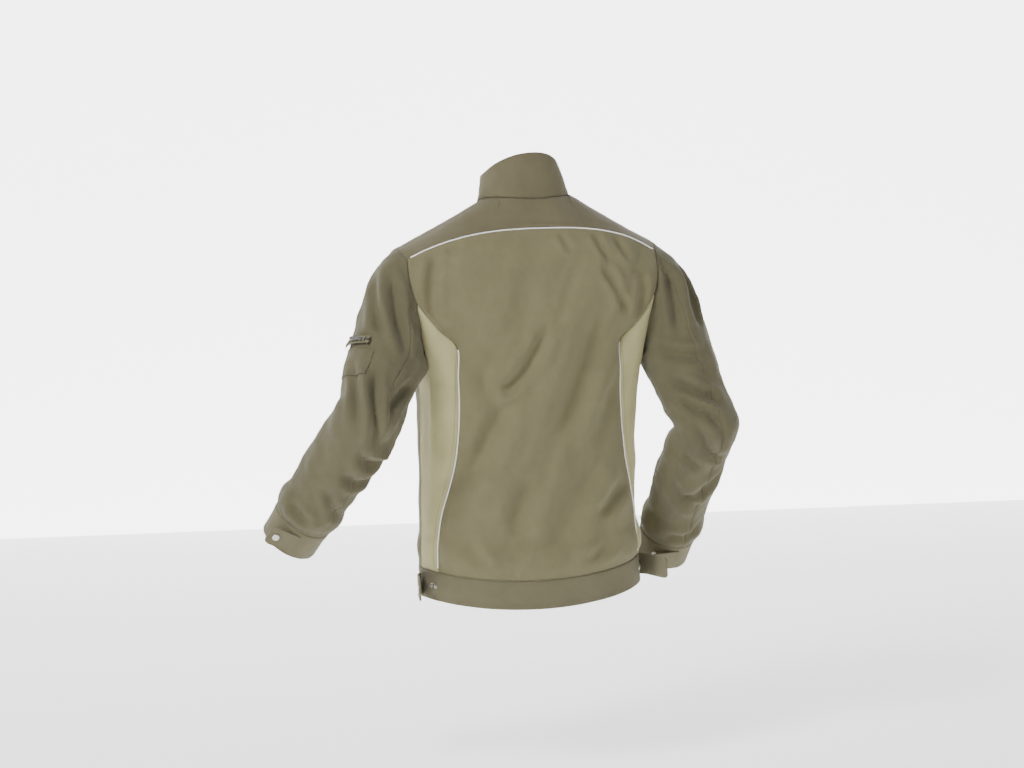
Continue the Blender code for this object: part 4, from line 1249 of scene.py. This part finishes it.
def make_panels():
    panel("back_panel_cloth", [MADE["back"]], "torso", OLIVE, ["back_panel"])
    yoke = [MADE["yoke"], MADE["shoulder_left"], MADE["shoulder_right"]]
    panel("back_yoke_cloth", yoke, "torso", OLIVE_YOKE, ["back_yoke"])
    panel("waistband_back_cloth", [MADE["band"]], "torso", OLIVE_BAND, ["waistband_back"], BAND_CLOTH)
    for way, side in ((1, "left"), (-1, "right")):
        panel(f"side_panel_{side}_cloth", [MADE["side_" + side]], "torso", OLIVE_SIDE_PAINTED_LIGHT,
              ["side_panel_" + side])
        bend = front_bend(way)
        panel(f"front_panel_{side}_cloth", [MADE["front_" + side]], bend, OLIVE, ["front_panel_" + side])
        panel(f"waistband_front_{side}_cloth", [MADE["band_front_" + side]], bend, OLIVE_BAND,
              ["waistband_front_" + side], BAND_CLOTH)
        upper, lower = split_rows(SLEEVES[way], SPLIT_ROW)
        panel(f"sleeve_top_{side}_cloth", [upper], sleeve_bend(way), OLIVE_SLEEVE_PAINTED_SHADE,
              ["sleeve_head_" + side, "sleeve_upper_" + side])
        panel(f"sleeve_low_{side}_cloth", [lower], elbow_bend(way), OLIVE_SLEEVE_PAINTED_SHADE,
              ["sleeve_elbow_" + side, "sleeve_forearm_" + side])
        panel(f"cuff_{side}_cloth", [CUFFS[way]], "forearm_" + side, OLIVE_BAND,
              ["cuff_" + side], BAND_CLOTH)


def make_collar():
    c = COLLAR
    ends = ("left", 5, 8, front_bend(1)), ("right", -8, -5, front_bend(-1))
    for name, low, high, body in (("back", -5, 5, "torso"), *ends):
        part = c.cut(0, 3, 8 + low, 8 + high, "")
        nodes = ["collar"] if name == "back" else []
        panel(f"collar_{name}_cloth", [part], body, OLIVE_YOKE, nodes, BAND_CLOTH)


make_panels()
make_collar()
STITCH, PITCH, STITCH_WIDE, STITCH_HIGH = 0.0024, 0.0034, 0.00055, 0.00035


def inner_line(patch, side, far, low=0.0, high=1.0):
    """A line on the cloth that keeps a distance from one border; low and high trim its ends."""
    d = patch.from_border(side)
    p, n = patch.points, patch.normals
    if side in "tb":
        d, p, n = d.T, p.transpose(1, 0, 2), n.transpose(1, 0, 2)
    if side in "tr":
        d, p, n = d[:, ::-1], p[:, ::-1], n[:, ::-1]
    line = []
    for row in range(len(d)):
        spot = [np.interp(far, d[row], p[row, :, axis]) for axis in range(3)]
        out = [np.interp(far, d[row], n[row, :, axis]) for axis in range(3)]
        line.append((spot, out))
    line = np.array(line)
    return trimmed(line, low, high)


def at_places(line, known, at):
    """The line's points and ways out at other places, given the places of its own points."""
    found = [[np.interp(at, known, line[:, k, axis]) for axis in range(3)] for k in (0, 1)]
    return np.stack(found).transpose(2, 0, 1)


def steps_along(line):
    return np.r_[0, np.cumsum(np.linalg.norm(np.diff(line[:, 0], axis=0), axis=1))]


def trimmed(line, low, high):
    steps = steps_along(line)
    share = steps / steps[-1]
    at = np.unique(np.r_[low, share[(share > low) & (share < high)], high])
    return at_places(line, share, at)


def grid_line(patch, spots):
    """A line on the cloth through fractional (row, column) spots."""
    spots = np.array(spots, float)
    found = [patch.at(np.array([r]), np.array([c])) for r, c in spots]
    return np.array([(p[0, 0], n[0, 0]) for p, n in found])


def straight_run(a, b, count=30):
    return [(a[0] + (b[0] - a[0]) * t, a[1] + (b[1] - a[1]) * t) for t in np.linspace(0, 1, count)]


def evenly(line, pitch):
    steps = steps_along(line)
    at = np.arange(pitch * 0.6, steps[-1] - pitch * 0.4, pitch)
    return at_places(line, steps, at)


def stitch_mesh(name, lines):
    """Short raised threads along the lines, all in one mesh."""
    verts, faces = [], []
    for line in lines:
        spots = evenly(line, PITCH)
        if len(spots) < 3:
            continue
        ways = np.gradient(spots[:, 0], axis=0)
        for (p, n), way in zip(spots, ways):
            n, way = unit(n), unit(way)
            across = np.cross(n, way)
            first = len(verts)
            for share, wide, high in ((-0.5, 0.5, 0.0), (-0.34, 1.0, 1.0), (0.34, 1.0, 1.0), (0.5, 0.5, 0.0)):
                for turn in (-1, 0, 1):
                    lift = STITCH_HIGH * high * (1.0 if turn == 0 else 0.25)
                    offset = way * STITCH * share + across * turn * STITCH_WIDE * 0.5 * wide
                    verts.append(tuple(p + (offset + n * (lift + 0.00004))))
            for k in range(3):
                for j in (0, 1):
                    a = first + k * 3 + j
                    faces.append((a, a + 3, a + 4, a + 1))
    mesh = bpy.data.meshes.new(name)
    mesh.from_pydata(verts, [], faces)
    mesh.polygons.foreach_set("use_smooth", [True] * len(faces))
    return mesh


def stitch(name, lines, body, look=None):
    mesh = stitch_mesh(name, lines)
    mesh.materials.append(look or THREAD)
    return attach(show(bpy.data.objects.new(name, mesh)), body)


def double(patch, side, low=0.0, high=1.0, first=0.0022, second=0.0082):
    return [inner_line(patch, side, first, low, high), inner_line(patch, side, second, low, high)]


def make_stitches():
    m = MADE
    back = double(m["back"], "b") + double(m["back"], "l", 0.66) + double(m["back"], "r", 0.66)
    band = double(m["band"], "t") + [inner_line(m["band"], "b", 0.0035), inner_line(m["band"], "b", 0.0075)]
    yoke = double(m["yoke"], "b") + double(m["shoulder_left"], "b") + double(m["shoulder_right"], "b")
    yoke += double(m["shoulder_left"], "t") + double(m["shoulder_right"], "t")
    yoke += [inner_line(m["yoke"], "t", 0.0022)]
    stitch("back_stitches", [back[0], *back[2:]], "torso")
    stitch("yoke_stitches", yoke, "torso")
    stitch("waistband_back_stitches", band, "torso")
    for way, side in ((1, "left"), (-1, "right")):
        panel_side = m["side_" + side]
        lines = double(panel_side, "l", 0.0, 0.98) + double(panel_side, "r")
        lines += [inner_line(panel_side, "b", 0.0022)]
        stitch(f"side_panel_{side}_stitches", lines, "torso")
        front = m["front_" + side]
        lines = [inner_line(front, "r", 0.012), inner_line(front, "r", 0.018), inner_line(front, "b", 0.0022)]
        lines += double(front, "l", 0.67, 1.0)
        stitch(f"front_panel_{side}_stitches", lines, front_bend(way))
        band = m["band_front_" + side]
        lines = double(band, "t") + [inner_line(band, "b", 0.0035), inner_line(band, "b", 0.0075)]
        stitch(f"waistband_front_{side}_stitches", lines, front_bend(way))
        make_sleeve_stitches(way, side)


def make_sleeve_stitches(way, side):
    sleeve = SLEEVES[way]
    column = SLEEVE_SEAM[way]
    rows = np.linspace(0.06, 12.96, 120)
    runs = [grid_line(sleeve, [(r, column + k) for r in rows]) for k in (0.07, 0.26)]
    top = int(np.searchsorted(rows, SPLIT_ROW))
    around = [inner_line(sleeve, "b", 0.0022), inner_line(sleeve, "b", 0.0082)]
    stitch(f"sleeve_top_{side}_stitches", [*(run[:top] for run in runs), *around], sleeve_bend(way))
    low = [*(run[top:] for run in runs), inner_line(sleeve, "t", 0.0022), inner_line(sleeve, "t", 0.0082)]
    for row, lean in ((6.7, 0.35), (7.3, 0.1), (7.9, -0.2)):
        low.append(grid_line(sleeve, straight_run((row, column + 0.3), (row + lean, column + 1.5))))
    stitch(f"sleeve_low_{side}_stitches", low, elbow_bend(way))
    cuff = CUFFS[way]
    lines = [inner_line(cuff, "b", 0.0022), inner_line(cuff, "t", 0.0035), inner_line(cuff, "t", 0.0075)]
    stitch(f"cuff_{side}_stitches", lines, "forearm_" + side)


def make_collar_stitches():
    part = COLLAR.cut(0, 3, 3, 13, "")
    lines = [inner_line(part, "b", 0.0025), inner_line(part, "t", 0.0030), inner_line(part, "t", 0.0085)]
    stitch("collar_stitches", lines, "torso")


make_stitches()
make_collar_stitches()


def raised(base, r0, r1, c0, c1, lift, puff=0.0, sewn=""):
    """A piece lying on the cloth, higher in its middle by the puff."""
    made = base.cut(r0, r1, c0, c1, sewn)
    edge = np.minimum(np.minimum(made.from_border("l"), made.from_border("r")),
                      np.minimum(made.from_border("b"), made.from_border("t")))
    rise = lift + puff * step(edge, 0.0, 0.030)
    made.points = made.points + made.normals * rise[..., None]
    made.refresh()
    return made


def around(patch, far):
    return [inner_line(patch, side, far, 0.03, 0.97) for side in "lrbt"]


def lathe(name, profile, point, out, look, steps=36):
    """A turned metal piece with its axis along out."""
    z = unit(out)
    x = unit(np.cross(z, (0.3, 0.5, 0.81)))
    y = np.cross(z, x)
    verts, faces = [], []
    for r, h in profile:
        for k in range(steps):
            a = 2 * math.pi * k / steps
            verts.append(tuple(np.array(point) + (x * math.cos(a) + y * math.sin(a)) * r + z * h))
    for row in range(len(profile) - 1):
        for k in range(steps):
            a, b = row * steps + k, row * steps + (k + 1) % steps
            faces.append((a, b, b + steps, a + steps))
    faces.append(tuple(range((len(profile) - 1) * steps, len(profile) * steps)))
    faces.append(tuple(range(steps))[::-1])
    mesh = bpy.data.meshes.new(name)
    mesh.from_pydata(verts, [], faces)
    mesh.polygons.foreach_set("use_smooth", [True] * (len(faces) - 2) + [True, True])
    mesh.materials.append(look)
    return show(bpy.data.objects.new(name, mesh))


def cap_profile(radius, high):
    shape = ((1.00, 0.00), (1.02, 0.25), (0.98, 0.60), (0.90, 0.84), (0.80, 0.92), (0.72, 0.84), (0.66, 0.70),
             (0.60, 0.66), (0.45, 0.80), (0.22, 0.90), (0.05, 0.92))
    return [(r * radius, h * high) for r, h in shape]


def stud_profile(radius, high):
    shape = ((1.00, 0.00), (1.02, 0.30), (0.95, 0.50), (0.80, 0.45), (0.62, 0.40), (0.56, 0.60), (0.58, 0.95),
             (0.50, 1.10), (0.36, 1.05), (0.30, 0.60), (0.04, 0.55))
    return [(r * radius, h * high) for r, h in shape]


def node_spot(node, inside):
    """Where a small round CAD node lies, and its way out."""
    points = np.array([v.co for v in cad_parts[node].data.vertices], float)
    centre = (points.min(axis=0) + points.max(axis=0)) / 2
    way = np.linalg.svd(points - points.mean(axis=0), full_matrices=False)[2][2]
    if way @ (centre - np.array(inside)) < 0:
        way = -way
    low = ((points - centre) @ way).min()
    return centre + way * low, way


def make_snaps():
    for way, side in ((1, "left"), (-1, "right")):
        path = sleeve_path(way)
        wrist = path[2] - unit(path[2] - path[1]) * CUFF_LENGTH * 0.5
        for node, body, inside, cap in (
            (f"hem_tab_cap_{side}", f"hem_strap_{side}", (0, -0.1, -0.65), True),
            (f"hem_snap_{side}_1", "torso", (0, -0.1, -0.65), False),
            (f"hem_snap_{side}_2", "torso", (0, -0.1, -0.65), False),
            (f"cuff_tab_cap_{side}", f"cuff_strap_{side}", wrist, True),
            (f"cuff_snap_{side}_1", f"forearm_{side}", wrist, False),
            (f"cuff_snap_{side}_2", f"forearm_{side}", wrist, False),
        ):
            spot, out = node_spot(node, inside)
            profile = cap_profile(CAP_R, 0.0019) if cap else stud_profile(STUD_R, 0.0016)
            made = lathe(node + "_metal", profile, spot - out * 0.0002, out, NICKEL)
            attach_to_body(made, body)
            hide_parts(node)


def strap_patch(matrix, size, root, wave=0.0003):
    """A strap with rounded end corners and its inner face where the matrix lies, but for its sewn root,
    which is longer and lower by the root."""
    length, wide, thick = size
    rows, columns = 14, 40
    grid = []
    for v in np.linspace(-1, 1, rows + 1):
        row = []
        for u in np.linspace(0, 1, columns + 1):
            corner = 0.008
            over = max(0.0, abs(v) * wide / 2 - (wide / 2 - corner))
            reach = length - corner + math.sqrt(max(corner**2 - over**2, 0))
            x = (reach + root) * u - root
            y = v * wide / 2
            z = thick + wave * math.sin(u * 5 + v * 1.3) - root * min(max(1 - x / 0.018, 0), 1) ** 2
            p = matrix @ np.array([x, y, z, 1])
            row.append(p[:3])
        grid.append(row)
    made = Patch.__new__(Patch)
    made.rows, made.columns = np.arange(rows + 1.0), np.arange(columns + 1.0)
    made.points = np.array(grid)
    behind = matrix @ np.array([length / 2, 0, -0.05, 1])
    made.inside = lambda points: np.zeros_like(points) + behind[:3]
    made.cyclic, made.sewn, made.seam = False, "", None
    made.refresh()
    return made


def make_straps():
    for way, side in ((1, "left"), (-1, "right")):
        point, normal, round_way, _ = cuff_frame(way, CUFF_TAB_TURN[way], out=0.0012)
        cuff_matrix = strap_matrix(point, round_way * CUFF_TAB_WAY[way], normal)
        hem_matrix = hem_strap_matrix(way)
        sewn, free = ((hem_matrix @ np.array([x, 0, 0, 1]))[:3] for x in (0.0, 0.016))
        hem_body = "torso", f"hem_strap_{side}", tuple(sewn), tuple(free)
        for name, size, matrix, body, root in (
            (f"hem_tab_{side}", HEM_STRAP, hem_matrix, hem_body, 0.006),
            (f"cuff_tab_{side}", CUFF_STRAP, cuff_matrix, f"cuff_strap_{side}", 0.0),
        ):
            patch = strap_patch(matrix, size, root)
            panel(name + "_cloth", [patch], body, OLIVE_BAND, [name], size[2])
            stitch(name + "_stitches", around(patch, 0.0025), body)


def make_pockets():
    for way, side in ((1, "left"), (-1, "right")):
        front = MADE["front_" + side]
        bend = front_bend(way)
        pocket = raised(front, 7.06, 10.94, 2.1, 5.9, CLOTH + 0.0004, 0.0016)
        panel(f"chest_pocket_{side}_cloth", [pocket], bend, OLIVE, ["chest_pocket_" + side])
        stitch(f"chest_pocket_{side}_stitches", around(pocket, 0.0022) + around(pocket, 0.0080), bend)
        flap = raised(front, 9.04, 10.97, 2.05, 5.95, CLOTH * 2 + 0.0034, 0.0006)
        sewn, free = (flap.at(np.array([row]), np.array([4.0]))[0][0, 0] for row in (10.93, 10.45))
        turn = "front_" + side, "flap_" + side, tuple(sewn), tuple(free)
        panel(f"pocket_flap_{side}_cloth", [flap], turn, OLIVE, ["pocket_flap_" + side])
        stitch(f"pocket_flap_{side}_stitches", around(flap, 0.0022) + around(flap, 0.0080), turn)
        welt = raised(front, 2.05, 4.95, 1.5, 2.0, CLOTH + 0.0004, 0.0004)
        panel(f"hand_pocket_welt_{side}_cloth", [welt], bend, OLIVE_BAND, ["hand_pocket_welt_" + side])
        stitch(f"hand_pocket_welt_{side}_stitches", around(welt, 0.0022), bend)
        spot, out = flap.at(np.array([9.35]), np.array([3.5]))
        profile = cap_profile(CAP_R, 0.0019)
        made = lathe(f"pocket_snap_cap_{side}_metal", profile, spot[0, 0], out[0, 0], NICKEL)
        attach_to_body(made, "flap_" + side)
        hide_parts("pocket_snap_cap_" + side)
        spot, out = pocket.at(np.array([9.35]), np.array([3.5]))
        profile = stud_profile(STUD_R, 0.0013)
        made = lathe(f"pocket_snap_stud_{side}_metal", profile, spot[0, 0], out[0, 0], NICKEL)
        attach(made, bend)
        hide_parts("pocket_snap_stud_" + side)


def tube(name, line, radius, body, look, nodes, sides=10, lift=0.0):
    """A round cord sewn along a line of (point, way out) pairs."""
    verts, faces = [], []
    ways = np.gradient(line[:, 0], axis=0)
    for (p, n), way in zip(line, ways):
        way = unit(way)
        n = unit(n - way * (n @ way))
        across = np.cross(way, n)
        for k in range(sides):
            a = 2 * math.pi * k / sides
            verts.append(tuple(p + n * (lift + radius * math.sin(a)) + across * radius * math.cos(a)))
    for row in range(len(line) - 1):
        for k in range(sides):
            a, b = row * sides + k, row * sides + (k + 1) % sides
            faces.append((a, b, b + sides, a + sides))
    faces.append(tuple(range(sides))[::-1])
    faces.append(tuple(range((len(line) - 1) * sides, len(line) * sides)))
    mesh = bpy.data.meshes.new(name)
    mesh.from_pydata(verts, [], faces)
    mesh.polygons.foreach_set("use_smooth", [True] * (len(faces) - 2) + [False, False])
    mesh.materials.append(look)
    obj = attach(show(bpy.data.objects.new(name, mesh)), body)
    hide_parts(*nodes)
    return obj


def make_piping():
    back, side_left, side_right = MADE["back"], MADE["side_left"], MADE["side_right"]
    line = inner_line(back, "t", 0.0006, 0.015, 0.985)
    tube("yoke_piping_cord", line, 0.0011, "torso", PIPING_PAINTED_GLARE, ["yoke_piping"], lift=0.0012)
    for name, side_patch in (("left", side_left), ("right", side_right)):
        line = inner_line(side_patch, "l", 0.0006, 0.02, 0.985)
        tube(f"side_piping_{name}_cord", line, 0.0011, "torso", PIPING_PAINTED_GLARE,
             ["side_piping_" + name], lift=0.0012)


def make_hanger():
    line = []
    for k in range(25):
        a = math.pi * k / 24
        line.append(((0.028 * math.cos(a), -0.0085, -0.020 + 0.020 * math.sin(a)), (0, -1, 0)))
    tube("hanger_loop_cord", np.array(line), 0.0016, "torso", OLIVE_BAND, ["hanger_loop"])


make_snaps()
make_straps()
make_pockets()
make_piping()
make_hanger()
TOOTH = 0.0026


def swept_strip(name, profile, low, high, steps, radius, centre):
    """An open or closed profile of (x, outward) points swept along the centre-front arc."""
    verts, faces = [], []
    count = len(profile)
    for k in range(steps + 1):
        a = low + (high - low) * k / steps
        for x, out in profile:
            r = radius + out
            verts.append((x + centre[0], centre[1] - r * math.cos(a), centre[2] + r * math.sin(a)))
    for k in range(steps):
        for j in range(count):
            a, b = k * count + j, k * count + (j + 1) % count
            faces.append((a, b, b + count, a + count))
    faces.append(tuple(range(count))[::-1])
    faces.append(tuple(range(steps * count, (steps + 1) * count)))
    mesh = bpy.data.meshes.new(name)
    mesh.from_pydata(verts, [], faces)
    return mesh


def teeth_mesh(name, way, low, high, radius, centre):
    verts, faces = [], []
    count = int((high - low) * radius / TOOTH)
    for k in range(count):
        a0 = low + (high - low) * (k + (0.0 if way > 0 else 0.5)) / count
        a1 = a0 + (high - low) / count * 0.52
        first = len(verts)
        for x in ((0.0003, 0.0044) if way > 0 else (-0.0044, -0.0003)):
            for a in (a0, a1):
                for r in (radius - 0.0024, radius + 0.0002):
                    verts.append((x + centre[0], centre[1] - r * math.cos(a), centre[2] + r * math.sin(a)))
        for cell in ((0, 1, 3, 2), (4, 6, 7, 5), (0, 4, 5, 1), (2, 3, 7, 6), (0, 2, 6, 4), (1, 5, 7, 3)):
            faces.append(tuple(first + c for c in cell))
    mesh = bpy.data.meshes.new(name)
    mesh.from_pydata(verts, [], faces)
    return mesh


def make_zip():
    low, high = zip_angle(ZIP_BOTTOM_Z), zip_angle(ZIP_TOP_Z)
    centre = (0, ARC_Y, ARC_Z)
    for way, side in ((1, "left"), (-1, "right")):
        near, far = 0.0024, 0.0125
        corners = (near, -0.0016), (far, -0.0022), (far, -0.0014), (near, -0.0008)
        profile = [(way * x, out) for x, out in corners]
        mesh = swept_strip(f"zip_tape_{side}", profile, low, high, 120, ARC_R, centre)
        mesh.materials.append(TAPE)
        tape = attach(show(bpy.data.objects.new(f"zip_tape_{side}", mesh)), front_bend(way))
        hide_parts("zipper_" + side)
        mesh = teeth_mesh(f"zip_teeth_{side}", way, low, high, ARC_R, centre)
        mesh.materials.append(TAPE)
        attach(show(bpy.data.objects.new(f"zip_teeth_{side}", mesh)), front_bend(way))


def make_sleeve_zip():
    sleeve = SLEEVES[1]
    pocket = raised(sleeve, 4.12, 5.88, 2.2, 5.8, CLOTH + 0.0003, 0.0012)
    panel("sleeve_pocket_cloth", [pocket], "sleeve_left", OLIVE_SLEEVE_PAINTED_SHADE, ["sleeve_pocket"])
    stitch("sleeve_pocket_stitches", around(pocket, 0.0022), "sleeve_left")
    centre, axis, out = sleeve_zip_frame()
    place = Matrix(zip_matrix(centre, axis, out).tolist())
    half = math.radians(30)
    for name, wide, high, look in (("tape", 0.0062, 0.0009, OLIVE_BAND), ("coil", 0.0017, 0.0019, TAPE)):
        low, slim = high * 0.7, wide * 0.7
        profile = [(-wide, 0.0), (wide, 0.0), (wide, low), (slim, high), (-slim, high), (-wide, low)]
        mesh = swept_strip(f"sleeve_zip_{name}", profile, -half, half, 60, ZIP_R, (0, 0, 0))
        mesh.transform(place)
        mesh.materials.append(look)
        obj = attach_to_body(show(bpy.data.objects.new(f"sleeve_zip_{name}", mesh)), "sleeve_left")
        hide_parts("sleeve_zip")
    for name in ("zip_slider", "zip_pull", "sleeve_zip_slider", "sleeve_zip_pull"):
        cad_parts[name].data.materials.clear()
        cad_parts[name].data.materials.append(NICKEL)


make_zip()
make_sleeve_zip()


def stage_plane(name, size, place, turn, tone, glow):
    mesh = bpy.data.meshes.new(name)
    work = bmesh.new()
    bmesh.ops.create_grid(work, x_segments=1, y_segments=1, size=size)
    work.to_mesh(mesh)
    work.free()
    plane = show(bpy.data.objects.new(name, mesh))
    plane.location, plane.rotation_euler = place, turn
    made, shader, _, _ = nodes_for(name)
    shader.inputs["Base Color"].default_value = (tone, tone, tone, 1)
    shader.inputs["Roughness"].default_value = 0.9
    shader.inputs["Emission Color"].default_value = (1, 1, 1, 1)
    shader.inputs["Emission Strength"].default_value = glow
    mesh.materials.append(made)


def make_stage():
    stage_plane("pale floor", 6, (0, 0, HEM_Z - 0.30), (0, 0, 0), 0.95, 0.55)
    stage_plane("pale backdrop", 5, (-0.9, -3.2, 0), (math.radians(90), 0, math.radians(-18)), 0.9, 4.0)


def add_light(name, place, size, power, aim):
    data = bpy.data.lights.new(name, "AREA")
    data.shape = "RECTANGLE"
    data.size, data.size_y = size
    data.energy = power
    obj = show(bpy.data.objects.new(name, data))
    obj.location = place
    obj.rotation_euler = (Vector(aim) - Vector(place)).to_track_quat("-Z", "Y").to_euler()


MIDDLE = (0, -0.10, -0.33)
CAMERA_TURN, CAMERA_RISE, CAMERA_ROLL = 162, 4, -2.2
CAMERA_FAR = 3.2
CAMERA_LENS = 66.2
CAMERA_SHIFT = (-0.0137, 0.0117)


def make_lights():
    world = bpy.data.worlds.new("white room")
    world.use_nodes = True
    world.node_tree.nodes["Background"].inputs["Color"].default_value = (1, 1, 1, 1)
    world.node_tree.nodes["Background"].inputs["Strength"].default_value = 0.22
    bpy.context.scene.world = world
    add_light("key", (2.6, 1.4, 2.2), (1.0, 1.0), 150, MIDDLE)
    add_light("fill", (-2.4, 1.9, 0.5), (1.8, 1.8), 20, MIDDLE)
    add_light("front", (0.8, -2.4, 1.4), (1.6, 1.6), 14, MIDDLE)


def make_camera():
    turn, rise, roll = (math.radians(angle) for angle in (CAMERA_TURN, CAMERA_RISE, CAMERA_ROLL))
    back = Vector((math.sin(turn) * math.cos(rise), -math.cos(turn) * math.cos(rise), math.sin(rise)))
    right = (-back).cross(Vector((0, 0, 1))).normalized()
    up = right.cross(-back)
    across = right * math.cos(roll) + up * math.sin(roll)
    over = -right * math.sin(roll) + up * math.cos(roll)
    data = bpy.data.cameras.new("camera")
    data.lens, data.sensor_width = CAMERA_LENS, 36.0
    data.shift_x, data.shift_y = CAMERA_SHIFT
    camera = show(bpy.data.objects.new("camera", data))
    turned = Matrix((across, over, back)).transposed().to_4x4()
    camera.matrix_world = Matrix.Translation(Vector(MIDDLE) + back * CAMERA_FAR) @ turned
    bpy.context.scene.camera = camera


make_stage()
make_lights()
make_camera()
